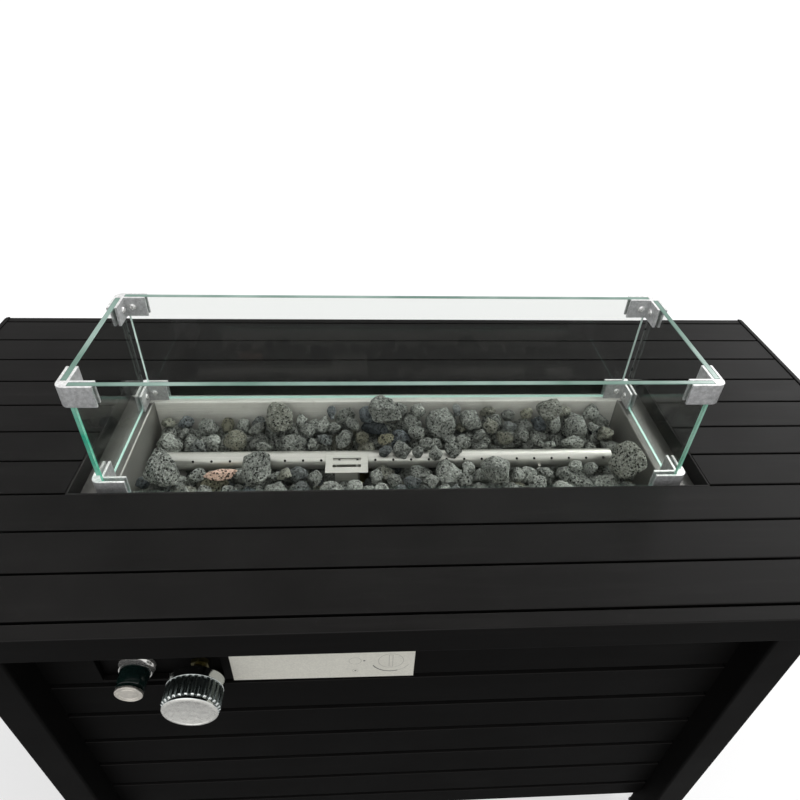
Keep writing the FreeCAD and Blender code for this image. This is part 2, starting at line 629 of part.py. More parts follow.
def make_lava_rocks():
    """One layer of rocks on each side of the burner."""
    chance = random.Random(11)
    pitch = ROCK_LENGTH + ROCK_GAP
    count = int(2 * (BOWL_X - ROCK_END_SPACE) / pitch)
    inner_edge = max(BURNER_RADIUS, SADDLE_WIDTH / 2) + ROCK_GAP / 2
    rows = int((BOWL_BACK - BURNER_Y - inner_edge) / ROCK_WIDTH)
    rocks = []
    for side in (-1, 1):
        for row in range(rows):
            y = BURNER_Y + side * (inner_edge + (row + 0.5) * ROCK_WIDTH)
            for index in range(count):
                x = (index - (count - 1) / 2 + chance.uniform(-0.03, 0.03)) * pitch
                height = chance.uniform(ROCK_LOWEST, ROCK_HIGHEST)
                if not blocks_fittings(x, y):
                    rocks.append(rock(x, y, ROCK_LENGTH, ROCK_WIDTH, height, chance))
    save("lava_rocks", *rocks)


def make_glass():
    """Four panes that stand on the pan flange."""
    heights = (FLANGE_TOP, GUARD_TOP)
    inset = CLIP_SOLID - CLIP_OFFSET + CLIP_SLOT_CLEARANCE
    end_x = GLASS_X - inset
    save("front_glass", box((-end_x, end_x), (GLASS_FRONT, GLASS_FRONT + GLASS_THICKNESS), heights))
    save("back_glass", box((-end_x, end_x), (GLASS_BACK - GLASS_THICKNESS, GLASS_BACK), heights))
    ends_y = (GLASS_FRONT + inset, GLASS_BACK - inset)
    save("side_glasses", *[box((side * (GLASS_X - GLASS_THICKNESS), side * GLASS_X),
                               ends_y, heights) for side in (-1, 1)])


def corner_clip(side_x, side_y, bottom):
    """L-shaped clip with a slot in each arm, and its two screws."""
    corner_x = side_x * (GLASS_X + CLIP_OFFSET)
    corner_y = (GLASS_FRONT if side_y < 0 else GLASS_BACK) + side_y * CLIP_OFFSET
    heights = (bottom, bottom + CLIP_HEIGHT)

    def block(x, y):
        return box([corner_x - side_x * value for value in x],
                   [corner_y - side_y * value for value in y], heights)

    clip = block((0, CLIP_ARM), (0, CLIP_WIDTH)).fuse(block((0, CLIP_WIDTH), (0, CLIP_ARM)))
    slot = (CLIP_PLATE, CLIP_PLATE + CLIP_SLOT)
    long_slot = (CLIP_SOLID, CLIP_ARM + OVERRUN)
    clip = clip.cut(block(long_slot, slot)).cut(block(slot, long_slot))
    corner = block((0, CLIP_CORNER_RADIUS), (0, CLIP_CORNER_RADIUS))
    round_off = rod((corner_x - side_x * CLIP_CORNER_RADIUS,
                     corner_y - side_y * CLIP_CORNER_RADIUS, bottom),
                    CLIP_HEIGHT, CLIP_CORNER_RADIUS, Z)
    clip = clip.cut(corner.cut(round_off))

    middle = bottom + CLIP_HEIGHT / 2
    glass_face = CLIP_OFFSET + GLASS_THICKNESS
    screws = []
    for axis in (X, Y):
        side = (side_x, side_y)[axis]
        other = (side_x, side_y)[1 - axis]
        start = [0, 0, middle]
        start[axis] = (corner_x, corner_y)[axis] - side * CLIP_SCREW_INSET
        across = 1 - axis
        tip = (corner_x, corner_y)[across] - other * glass_face
        face = (corner_x, corner_y)[across] - other * CLIP_WIDTH
        outer = face - other * SCREW_HEAD_HEIGHT
        start[across] = min(tip, face)
        shank = rod(start, abs(face - tip), SCREW_SHANK_DIAMETER / 2, across)
        hole = rod(start, abs(face - tip), SCREW_SHANK_DIAMETER / 2 + FIT_CLEARANCE, across)
        start[across] = min(face, outer)
        head = rod(start, SCREW_HEAD_HEIGHT, SCREW_HEAD_DIAMETER / 2, across)
        clip = clip.cut(hole)
        screws.append(head.fuse(shank).removeSplitter())
    return clip.removeSplitter(), screws


def make_clips():
    screws = []
    for node, bottom in (("top_corner_clips", GUARD_TOP - CLIP_HEIGHT),
                         ("bottom_corner_clips", FLANGE_TOP)):
        clips = []
        for side_x in (-1, 1):
            for side_y in (-1, 1):
                clip, pair = corner_clip(side_x, side_y, bottom)
                clips.append(clip)
                screws.extend(pair)
        save(node, *clips)
    save("clip_screws", *screws)


def make_legs():
    """Square tube legs on plastic glides."""
    legs, glides = [], []
    spigot_inset = LEG_WALL + GLIDE_CLEARANCE
    for side_x in (-1, 1):
        for side_y in (-1, 1):
            x = (side_x * LEG_INNER_X, side_x * LEG_OUTER_X)
            y = (side_y * LEG_INNER_Y, side_y * LEG_OUTER_Y)
            legs.append(hollow_bar(x, y, (GLIDE_THICKNESS, UNDERSIDE), LEG_WALL, Z))
            pad = box(x, y, (0, GLIDE_THICKNESS))
            spigot = box((min(x) + spigot_inset, max(x) - spigot_inset),
                         (min(y) + spigot_inset, max(y) - spigot_inset),
                         (GLIDE_THICKNESS, GLIDE_THICKNESS + GLIDE_SPIGOT))
            glides.append(pad.fuse(spigot).removeSplitter())
    save("legs", *legs)
    save("leg_glides", *glides)


def rail_set(bottom):
    """Front and back rails behind the legs, and side rails between them."""
    heights = (bottom, bottom + RAIL_HEIGHT)
    rails = []
    for side in (-1, 1):
        rails.append(hollow_bar((-LEG_OUTER_X, LEG_OUTER_X),
                                (side * RAIL_INNER_Y, side * LEG_INNER_Y),
                                heights, RAIL_WALL, X))
        rails.append(hollow_bar((side * RAIL_INNER_X, side * LEG_INNER_X),
                                (-RAIL_INNER_Y, RAIL_INNER_Y), heights, RAIL_WALL, Y))
    return rails


def make_rails():
    save("upper_rails", *[bolt_holes(rail) for rail in rail_set(UPPER_RAIL_BOTTOM)])
    save("lower_rails", *rail_set(LOWER_RAIL_HEIGHT))


def slat_spans(top):
    """Bottom and top of each slat up to a top edge, in step with the control slat's line."""
    lines = [PANEL_BOTTOM - SLAT_GAP / 2]
    below = int((CONTROL_SLAT_LINE - PANEL_BOTTOM) / SLAT_PITCH)
    lines += [CONTROL_SLAT_LINE - step * SLAT_PITCH for step in range(below, 0, -1)]
    while lines[-1] + SLAT_PITCH < top:
        lines.append(lines[-1] + SLAT_PITCH)
    if top - lines[-1] > SLAT_GAP:
        lines.append(top + SLAT_GAP / 2)
    return [(low + SLAT_GAP / 2, high - SLAT_GAP / 2) for low, high in zip(lines, lines[1:])]


def make_slats():
    """Fixed slats in front, behind and on the left, with their battens."""
    end_x = LEG_INNER_X - SLAT_END_GAP
    end_y = LEG_INNER_Y - SLAT_END_GAP
    under_controls = CONTROL_SLAT_LINE - SLAT_GAP / 2
    save("front_slats", *[hollow_bar((-end_x, end_x), (-SLAT_FACE_Y, -SLAT_BACK_Y), span,
                                     SLAT_WALL, X) for span in slat_spans(under_controls)])
    save("back_slats", *[hollow_bar((-end_x, end_x), (SLAT_FACE_Y, SLAT_BACK_Y), span,
                                    SLAT_WALL, X) for span in slat_spans(PANEL_TOP)])
    save("left_slats", *[hollow_bar((-SLAT_FACE_X, -SLAT_BACK_X), (-end_y, end_y), span,
                                    SLAT_WALL, Y) for span in slat_spans(PANEL_TOP)])
    heights = (LOWER_RAIL_TOP, UPPER_RAIL_BOTTOM)
    batten_x = LEG_INNER_X - BATTEN_INSET
    batten_y = LEG_INNER_Y - BATTEN_INSET
    battens = []
    for side in (-1, 1):
        for face in (-1, 1):
            battens.append(hollow_bar(
                (side * (batten_x - BATTEN_WIDTH), side * batten_x),
                (face * SLAT_BACK_Y, face * (SLAT_BACK_Y - BATTEN_THICKNESS)),
                heights, BATTEN_WALL, Z))
        battens.append(hollow_bar((-SLAT_BACK_X, BATTEN_THICKNESS - SLAT_BACK_X),
                                  (side * (batten_y - BATTEN_WIDTH), side * batten_y),
                                  heights, BATTEN_WALL, Z))
    save("slat_battens", *battens)


def make_door():
    """Slatted access door that hinges on the back right leg."""
    end_y = LEG_INNER_Y - DOOR_GAP
    save("door_slats", *[hollow_bar((SLAT_BACK_X, SLAT_FACE_X), (-end_y, end_y), span,
                                    SLAT_WALL, Y) for span in slat_spans(PANEL_TOP)])
    batten_y = LEG_INNER_Y - BATTEN_INSET
    heights = (LOWER_RAIL_TOP + DOOR_GAP, UPPER_RAIL_BOTTOM - DOOR_GAP)
    save("door_battens", *[hollow_bar((SLAT_BACK_X, SLAT_BACK_X - BATTEN_THICKNESS),
                                      (side * (batten_y - BATTEN_WIDTH), side * batten_y),
                                      heights, BATTEN_WALL, Z) for side in (-1, 1)])
    pull_y = PULL_INSET - end_y
    pull_z = CONTROL_SLAT_LINE - SLAT_PITCH / 2
    neck = rod((SLAT_FACE_X, pull_y, pull_z), PULL_LENGTH, PULL_NECK_DIAMETER / 2, X)
    head = rod((SLAT_FACE_X + PULL_LENGTH - PULL_HEAD_LENGTH, pull_y, pull_z),
               PULL_HEAD_LENGTH, PULL_DIAMETER / 2, X)
    save("door_pull", neck.fuse(head).removeSplitter())
    catch_y = CATCH_INSET - end_y
    save("door_catch", box((SLAT_BACK_X - CATCH_GAP - CATCH_DEPTH, SLAT_BACK_X - CATCH_GAP),
                           (catch_y, catch_y + CATCH_LENGTH),
                           (UPPER_RAIL_BOTTOM - CATCH_HEIGHT, UPPER_RAIL_BOTTOM)))


def make_hinges():
    """Two butt hinges: leaves on the leg, leaves on the door, and loose pins."""
    radius = HINGE_KNUCKLE_DIAMETER / 2
    bore = HINGE_PIN_DIAMETER / 2 + FIT_CLEARANCE
    third = HINGE_HEIGHT / 3
    fixed, moving, pins = [], [], []
    for bottom in HINGE_BOTTOMS:
        heights = (bottom, bottom + HINGE_HEIGHT)

        def part_rod(start, length, size):
            return rod((HINGE_X, HINGE_Y, bottom + start), length, size, Z)

        middle_space = part_rod(third, third, radius + HINGE_GAP)
        outer_space = (part_rod(-OVERRUN, third + OVERRUN, radius + HINGE_GAP)
                       .fuse(part_rod(2 * third, third + OVERRUN, radius + HINGE_GAP)))
        whole_bore = part_rod(-OVERRUN, HINGE_HEIGHT + 2 * OVERRUN, bore)

        leg_leaf = box((HINGE_X, HINGE_X + HINGE_LEAF_WIDTH),
                       (LEG_INNER_Y - HINGE_LEAF, LEG_INNER_Y), heights).cut(middle_space)
        leg_leaf = leg_leaf.fuse(part_rod(0, third, radius))
        leg_leaf = leg_leaf.fuse(part_rod(2 * third, third, radius)).cut(whole_bore)
        fixed.append(leg_leaf.removeSplitter())

        door_leaf = box((SLAT_FACE_X, SLAT_FACE_X + HINGE_LEAF),
                        (HINGE_Y - radius - HINGE_LEAF_WIDTH, HINGE_Y), heights).cut(outer_space)
        knuckle = part_rod(third + KNUCKLE_END_GAP, third - 2 * KNUCKLE_END_GAP, radius)
        moving.append(door_leaf.fuse(knuckle).cut(whole_bore).removeSplitter())
        pins.append(part_rod(0, HINGE_HEIGHT, HINGE_PIN_DIAMETER / 2))
    save("frame_hinge_leaves", *fixed)
    save("door_hinge_leaves", *moving)
    save("hinge_pins", *pins)


def make_tank_bay():
    """Bottom shelf, and the ring that keeps the tank's foot in place."""
    shelf_x = SLAT_BACK_X - BATTEN_THICKNESS - SHELF_SIDE_GAP
    shelf_y = SLAT_BACK_Y - BATTEN_THICKNESS - SHELF_SIDE_GAP
    save("bottom_shelf", box((-shelf_x, shelf_x), (-shelf_y, shelf_y),
                             (LOWER_RAIL_TOP, SHELF_TOP)))
    outer = TANK_RING_DIAMETER / 2
    save("tank_ring", ring((TANK_X, 0, SHELF_TOP), TANK_RING_HEIGHT, outer,
                           outer - TANK_RING_WALL, Z))


def make_control_slat():
    """Top slat with the window that the controls stand in, and its blank plate."""
    end_x = LEG_INNER_X - SLAT_END_GAP
    bottom = CONTROL_SLAT_LINE + SLAT_GAP / 2
    slat = box((-end_x, end_x), (-SLAT_FACE_Y, -SLAT_BACK_Y), (bottom, PANEL_TOP))
    window_bottom = TABLE_HEIGHT - POCKET_BOTTOM_DROP
    window_top = window_bottom + POCKET_HEIGHT
    window = box((POCKET_LEFT, POCKET_RIGHT), (-SLAT_FACE_Y - OVERRUN, -SLAT_BACK_Y + OVERRUN),
                 (window_bottom, window_top))
    save("control_slat", slat.cut(window))

    margin = CONTROL_PLATE_MARGIN
    plate = box((POCKET_LEFT - margin, POCKET_RIGHT + margin), (PLATE_FRONT, PLATE_BACK),
                (window_bottom - margin, window_top + margin))
    for x, diameter in ((KNOB_X, VALVE_NECK_DIAMETER), (IGNITER_X, IGNITER_SLEEVE_DIAMETER)):
        plate = plate.cut(rod((x, PLATE_FRONT - OVERRUN, CONTROL_Z), 3 * OVERRUN,
                              diameter / 2 + FIT_CLEARANCE, Y))
    save("control_plate", plate)
    label_bottom = bottom - LABEL_OVERHANG
    label = box((LABEL_LEFT, LABEL_LEFT + LABEL_LENGTH), (-SLAT_FACE_Y - LABEL_SHEET, -SLAT_FACE_Y),
                (label_bottom, label_bottom + LABEL_HEIGHT))
    label.rotate(Vector(LABEL_LEFT, -SLAT_FACE_Y, label_bottom), AXES[Y], LABEL_TILT)
    save("label_plate", label)


def make_valve():
    """Gas valve behind the plate, its stem and nut, its inlet, and the knob."""
    half = VALVE_SIZE / 2
    body = box((KNOB_X - half, KNOB_X + half), (PLATE_BACK, VALVE_BACK),
               (CONTROL_Z - half, CONTROL_Z + half))
    neck = rod((KNOB_X, PLATE_FRONT - VALVE_NECK_REACH, CONTROL_Z),
               VALVE_NECK_REACH + CONTROL_PLATE_SHEET, VALVE_NECK_DIAMETER / 2, Y)
    outlet = rod((KNOB_X, VALVE_BACK, CONTROL_Z), HOSE_NUT_LENGTH, HOSE_NUT_DIAMETER / 2, Y)
    stem_radius = STEM_DIAMETER / 2
    bore = rod((KNOB_X, PLATE_FRONT - VALVE_NECK_REACH - OVERRUN, CONTROL_Z),
               VALVE_NECK_REACH + OVERRUN + CONTROL_PLATE_SHEET + STEM_IN_VALVE,
               stem_radius + FIT_CLEARANCE, Y)
    save("valve_body", body.fuse(neck).fuse(outlet).cut(bore).removeSplitter())
    save("valve_stem", rod((KNOB_X, STEM_FRONT, CONTROL_Z), STEM_BACK - STEM_FRONT,
                           stem_radius, Y))

    inlet_y = (PLATE_BACK + VALVE_BACK) / 2
    save("gas_inlet", rod((KNOB_X, inlet_y, CONTROL_Z - half - GAS_INLET_LENGTH),
                          GAS_INLET_LENGTH, GAS_INLET_DIAMETER / 2, Z))

    valve_nut = hexagon((KNOB_X, PLATE_FRONT - VALVE_NUT_THICKNESS, CONTROL_Z),
                        VALVE_NUT_THICKNESS, VALVE_NUT_WIDTH,
                        VALVE_NECK_DIAMETER / 2 + FIT_CLEARANCE, Y)
    igniter_nut = ring((IGNITER_X, PLATE_BACK, CONTROL_Z), IGNITER_NUT_THICKNESS,
                       IGNITER_NUT_DIAMETER / 2,
                       IGNITER_SLEEVE_DIAMETER / 2 + FIT_CLEARANCE, Y)
    save("panel_nuts", valve_nut, igniter_nut)

    radius = KNOB_DIAMETER / 2
    knob = rod((KNOB_X, KNOB_FRONT, CONTROL_Z), KNOB_LENGTH, radius, Y)
    knob = ease_edges(knob, KNOB_EDGE_EASE, lambda edge: edge.BoundBox.XLength > radius)
    flute_length = KNOB_LENGTH - KNOB_SKIRT_LENGTH - KNOB_COLLAR_LENGTH
    for index in range(KNOB_FLUTE_COUNT):
        angle = 2 * math.pi * index / KNOB_FLUTE_COUNT
        knob = knob.cut(rod((KNOB_X + radius * math.cos(angle), KNOB_FRONT + KNOB_COLLAR_LENGTH,
                             CONTROL_Z + radius * math.sin(angle)),
                            flute_length, KNOB_FLUTE_DIAMETER / 2, Y))
    socket = rod((KNOB_X, STEM_FRONT, CONTROL_Z), KNOB_BACK - STEM_FRONT + OVERRUN,
                 stem_radius + FIT_CLEARANCE, Y)
    save("control_knob", knob.cut(socket))


def make_igniter():
    """Push-button igniter: flared bezel with a sleeve, sliding button with a cap, body."""
    button_radius = IGNITER_BUTTON_DIAMETER / 2
    bore = button_radius + FIT_CLEARANCE
    flange = rod((IGNITER_X, BEZEL_FLARE_BACK, CONTROL_Z), IGNITER_BEZEL_THICKNESS,
                 IGNITER_BEZEL_DIAMETER / 2, Y)
    flare = Part.makeCone(bore + IGNITER_BEZEL_LIP, IGNITER_BEZEL_DIAMETER / 2,
                          IGNITER_FLARE_LENGTH, Vector(IGNITER_X, BEZEL_FRONT, CONTROL_Z), AXES[Y])
    sleeve = rod((IGNITER_X, PLATE_FRONT, CONTROL_Z), IGNITER_SLEEVE_LENGTH,
                 IGNITER_SLEEVE_DIAMETER / 2, Y)
    passage = rod((IGNITER_X, BEZEL_FRONT - OVERRUN, CONTROL_Z),
                  SLEEVE_BACK - BEZEL_FRONT + 2 * OVERRUN, bore, Y)
    save("igniter_bezel", flange.fuse(flare).fuse(sleeve).cut(passage).removeSplitter())

    front = PLATE_FRONT - IGNITER_BUTTON_REACH
    barrel_front = front + IGNITER_CAP_THICKNESS
    barrel_back = SLEEVE_BACK - IGNITER_TRAVEL - CATCH_GAP
    cap_radius = IGNITER_CAP_DIAMETER / 2
    save("igniter_cap", rod((IGNITER_X, front, CONTROL_Z), IGNITER_CAP_THICKNESS, cap_radius, Y))
    taper = Part.makeCone(cap_radius, button_radius, BEZEL_FRONT - barrel_front,
                          Vector(IGNITER_X, barrel_front, CONTROL_Z), AXES[Y])
    barrel = rod((IGNITER_X, BEZEL_FRONT, CONTROL_Z), barrel_back - BEZEL_FRONT, button_radius, Y)
    save("igniter_button", taper.fuse(barrel).removeSplitter())
    save("igniter_body", rod((IGNITER_X, SLEEVE_BACK, CONTROL_Z), IGNITER_BODY_LENGTH,
                             IGNITER_SLEEVE_DIAMETER / 2, Y))


def cord(node, points, diameter):
    """Round cord along straight runs joined by tangent arcs, and its true length."""
    points = [Vector(*point) for point in points]
    edges, radii = [], []
    start = points[0]
    for before, corner, after in zip(points, points[1:], points[2:]):
        towards, onwards = corner - before, after - corner
        half_turn = towards.getAngle(onwards) / 2
        reach = ARC_SHARE * min(towards.Length, onwards.Length)
        radius = reach / math.tan(half_turn)
        towards.normalize()
        onwards.normalize()
        arc_start = corner - towards * reach
        arc_end = corner + onwards * reach
        inward = onwards - towards
        inward.normalize()
        middle = corner + inward * (radius / math.cos(half_turn) - radius)
        edges.append(Part.LineSegment(start, arc_start).toShape())
        edges.append(Part.Arc(arc_start, middle, arc_end).toShape())
        start = arc_end
        radii.append(round(radius, 1))
    edges.append(Part.LineSegment(start, points[-1]).toShape())
    path = Part.Wire(edges)
    first = points[1] - points[0]
    section = Part.Wire(Part.makeCircle(diameter / 2, points[0], first))
    tube = path.makePipeShell([section], True, False)
    expected = math.pi * diameter ** 2 / 4 * path.Length
    print(node, "length", round(path.Length, 1), "radii", radii,
          "volume ratio", round(tube.Volume / expected, 4))
    save(node, tube)


def make_cords():
    """Hose and leads between the controls and the burner."""
    cord("gas_hose", [
        (KNOB_X, VALVE_OUTLET_END, CONTROL_Z),
        (KNOB_X, VALVE_OUTLET_END + 123, CONTROL_Z),
        (HOSE_NUT_END - 92, BURNER_Y, ELBOW_Z),
        (HOSE_NUT_END, BURNER_Y, ELBOW_Z),
    ], HOSE_DIAMETER)
    cord("ignition_lead", [
        (IGNITER_X, IGNITER_BODY_BACK, CONTROL_Z),
        (IGNITER_X, IGNITER_BODY_BACK + 48, CONTROL_Z),
        (IGNITER_X + 22, -82, CONTROL_Z + 8),
        (IGNITER_X + 62, -46, CONTROL_Z + 16),
        (IGNITER_X + 110, -22, CONTROL_Z + 17),
        (ELECTRODE_X - 62, -20, PROBE_BOTTOM - 18),
        (ELECTRODE_X - 30, -16, PROBE_BOTTOM - 40),
        (ELECTRODE_X, PROBE_Y, PROBE_BOTTOM - 36),
        (ELECTRODE_X, PROBE_Y, PROBE_BOTTOM),
    ], IGNITION_LEAD_DIAMETER)
    lead_x = KNOB_X + VALVE_SIZE / 2 - 6
    lead_z = CONTROL_Z + 10
    cord("thermocouple_lead", [
        (lead_x, VALVE_BACK, lead_z),
        (lead_x, VALVE_BACK + 46, lead_z),
        (KNOB_X + 35, -106, CONTROL_Z + 8),
        (KNOB_X + 75, -72, CONTROL_Z + 2),
        (THERMOCOUPLE_X - 56, -50, PROBE_BOTTOM - 26),
        (THERMOCOUPLE_X - 20, -34, PROBE_BOTTOM - 36),
        (THERMOCOUPLE_X, PROBE_Y, PROBE_BOTTOM - 32),
        (THERMOCOUPLE_X, PROBE_Y, PROBE_BOTTOM),
    ], THERMOCOUPLE_LEAD_DIAMETER)


def main():
    os.makedirs("parts", exist_ok=True)
    make_planks()
    make_rims()
    make_bearers()
    make_opening_frame()
    make_fire_pan()
    make_burner()
    make_riser()
    make_pilot_parts()
    make_lava_rocks()
    make_glass()
    make_clips()
    make_legs()
    make_rails()
    make_slats()
    make_door()
    make_hinges()
    make_tank_bay()
    make_control_slat()
    make_valve()
    make_igniter()
    make_cords()


main()
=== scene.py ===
import math
import random

import bmesh
import bpy
import numpy as np
from bpy.props import FloatProperty, FloatVectorProperty, IntProperty, PointerProperty
from mathutils import Matrix, Vector, noise


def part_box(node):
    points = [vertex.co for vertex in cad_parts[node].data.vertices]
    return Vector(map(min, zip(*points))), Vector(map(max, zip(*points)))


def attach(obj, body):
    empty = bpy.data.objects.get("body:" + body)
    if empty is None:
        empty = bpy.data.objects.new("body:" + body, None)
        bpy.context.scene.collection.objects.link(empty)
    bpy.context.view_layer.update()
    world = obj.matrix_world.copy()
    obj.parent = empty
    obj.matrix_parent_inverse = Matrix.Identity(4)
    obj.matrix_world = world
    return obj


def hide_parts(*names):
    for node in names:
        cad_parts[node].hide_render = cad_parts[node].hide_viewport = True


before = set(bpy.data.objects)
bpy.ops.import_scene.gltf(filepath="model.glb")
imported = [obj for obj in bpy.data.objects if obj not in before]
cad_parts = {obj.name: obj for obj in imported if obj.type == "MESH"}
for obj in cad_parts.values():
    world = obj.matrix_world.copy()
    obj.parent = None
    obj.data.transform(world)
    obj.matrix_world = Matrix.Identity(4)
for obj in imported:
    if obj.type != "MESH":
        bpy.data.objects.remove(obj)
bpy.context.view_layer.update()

bl_info = {
    "name": "Fire Pit Table",
    "version": (1, 0, 0),
    "blender": (4, 5, 0),
    "location": "3D View > Sidebar > Fire Pit",
    "description": "Dresses the packed frame of a gas fire pit table",
    "category": "Object",
}

MM = 0.001
X, Y, Z = range(3)
TABLE, GUARD, DOOR = "table", "wind_guard", "access_door"

# How a bar, whose length starts along Z, is turned, and the axes of its width and height
TURN_ALONG = {X: (0, math.pi / 2, 0), Y: (-math.pi / 2, 0, 0), Z: (0, 0, 0)}
SECTION_AXES = {X: (Z, Y), Y: (X, Z), Z: (X, Y)}

# Lengths that differ by less are taken as equal
SAME = 0.01 * MM

# Materials by the name of their slot, and how strongly the paint shines
FINISHES = {}
PAINT_GLOSS = 0.024

# Inside of the pan's bowl, and the thickness of its sheet
BOWL_X, BOWL_FRONT, BOWL_BACK = 346.0 * MM, -84.8 * MM, 95.0 * MM
PAN_SHEET = 1.5 * MM

# Place and width of the stones that stand out, in metres, and their shape's number, then
# their tone, warmth, coolness and flake colour
FEATURE_ROCKS = (
    (-0.163, 0.072, 0.044, 0, (1.15, 0.25, 0.0, 0.0)),
    (-0.178, -0.036, 0.044, 5, (1.15, 0.0, 0.0, 0.0)),
    (0.312, -0.038, 0.048, 10, (1.25, 0.2, 0.0, 0.0)),
    (0.135, -0.046, 0.040, 3, (1.25, 0.0, 0.0, 0.0)),
    (0.228, 0.062, 0.032, 9, (0.95, 0.2, 0.0, 0.0)),
    (-0.010, 0.056, 0.042, 8, (1.05, 0.0, 0.0, 0.0)),
    (-0.300, -0.050, 0.046, 15, (1.05, 0.0, 0.0, 0.0)),
    (-0.226, -0.036, 0.040, 20, (1.3, 0.0, 0.0, 1.0)),
)


# Sizes and colours that a user would change

def length(title, about, millimetres):
    return FloatProperty(name=title, description=about, default=millimetres * MM,
                         min=0.0, unit="LENGTH", precision=4)


def colour(title, about, value):
    return FloatVectorProperty(name=title, description=about, default=(*value, 1.0),
                               size=4, min=0.0, max=1.0, subtype="COLOR")


class FirePitSizes(bpy.types.PropertyGroup):
    """Sizes that the frame does not give."""
    bar_corner: length("Bar corner", "Outer corner radius of planks, slats and rails", 1.0)
    leg_corner: length("Leg corner", "Outer corner radius of the legs", 3.0)
    glass_chamfer: length("Glass chamfer", "Polished chamfer along the glass edges", 0.6)
    clip_edge: length("Clip edge", "Rounding of the corner clips' edges", 0.5)
    pan_lip: length("Pan lip", "Radius of the fold between the pan's flange and bowl", 2.5)
    pan_fold: length("Pan fold", "Radius of the folds round the pan's floor", 3.0)
    rock_small: length("Smallest rock", "Width of the smallest lava rock", 19.0)
    rock_large: length("Largest rock", "Width of the largest lava rock", 46.0)
    rock_count: IntProperty(name="Rocks", description="Number of lava rocks", default=1150,
                            min=1)
    rock_seed: IntProperty(name="Rock seed", description="Seed of the rocks' shapes and places",
                           default=4)


class FirePitColours(bpy.types.PropertyGroup):
    """Colours of the finishes."""
    paint: colour("Paint", "Powder coat of the table", (0.0132, 0.0127, 0.0124))
    edge_top: colour("Glass top edge", "Top edges of the panes", (0.117, 0.231, 0.181))
    edge_left: colour("Glass left edge", "Upright edges on the left", (0.035, 0.42, 0.27))
    edge_right: colour("Glass right edge", "Upright edges on the right", (0.20, 0.50, 0.37))
    edge_foot: colour("Glass bottom edge", "Bottom edges of the panes", (0.42, 0.66, 0.59))
    glass_face: colour("Glass", "Tint of the panes", (0.825, 0.842, 0.825))
    stainless: colour("Stainless", "Fire pan and burner", (0.62, 0.61, 0.57))
    aluminium: colour("Aluminium", "Corner clips", (0.60, 0.605, 0.61))
    rock: colour("Rock", "Lava rock", (0.205, 0.214, 0.197))
    label: colour("Label", "Blank label beside the controls", (0.80, 0.785, 0.70))


def sizes():
    return bpy.context.scene.fire_pit_sizes


def colours():
    return bpy.context.scene.fire_pit_colours


# Node trees

class Out:
    """An output socket. Arithmetic on it adds Math nodes."""

    def __init__(self, graph, socket):
        self.graph = graph
        self.socket = socket

    def other(self, name):
        """Another output of the same node."""
        return Out(self.graph, self.socket.node.outputs[name])

    def math(self, operation, *values):
        return self.graph.math(operation, self, *values)

    def __add__(self, value):
        return self.math("ADD", value)

    def __radd__(self, value):
        return self.math("ADD", value)

    def __mul__(self, value):
        return self.math("MULTIPLY", value)

    def __sub__(self, value):
        return self.math("SUBTRACT", value)

    def __rsub__(self, value):
        return self.graph.math("SUBTRACT", value, self)

    def __truediv__(self, value):
        return self.math("DIVIDE", value)

    def __lt__(self, value):
        return self.math("LESS_THAN", value)

    def __pow__(self, value):
        return self.math("POWER", value)


class Graph:
    """A node tree that is filled in code."""

    def __init__(self, tree):
        self.tree = tree
        tree.nodes.clear()

    def node(self, kind, inputs=None, output=0, **settings):
        """Adds a node: its settings first, then the values or links of its sockets."""
        node = self.tree.nodes.new(kind)
        for name, value in settings.items():
            setattr(node, name, value)
        for name, value in (inputs or {}).items():
            for item in value if isinstance(value, list) else [value]:
                if isinstance(item, Out):
                    self.tree.links.new(item.socket, node.inputs[name])
                else:
                    node.inputs[name].default_value = item
        return Out(self, node.outputs[output]) if node.outputs else None

    def math(self, operation, *values):
        return self.node("ShaderNodeMath", dict(enumerate(values)), operation=operation)

    def level(self, value, low, high, to_low=0.0, to_high=1.0):
        """Maps low..high to to_low..to_high, and clamps."""
        return self.node("ShaderNodeMapRange", {
            "Value": value, "From Min": low, "From Max": high, "To Min": to_low,
            "To Max": to_high})


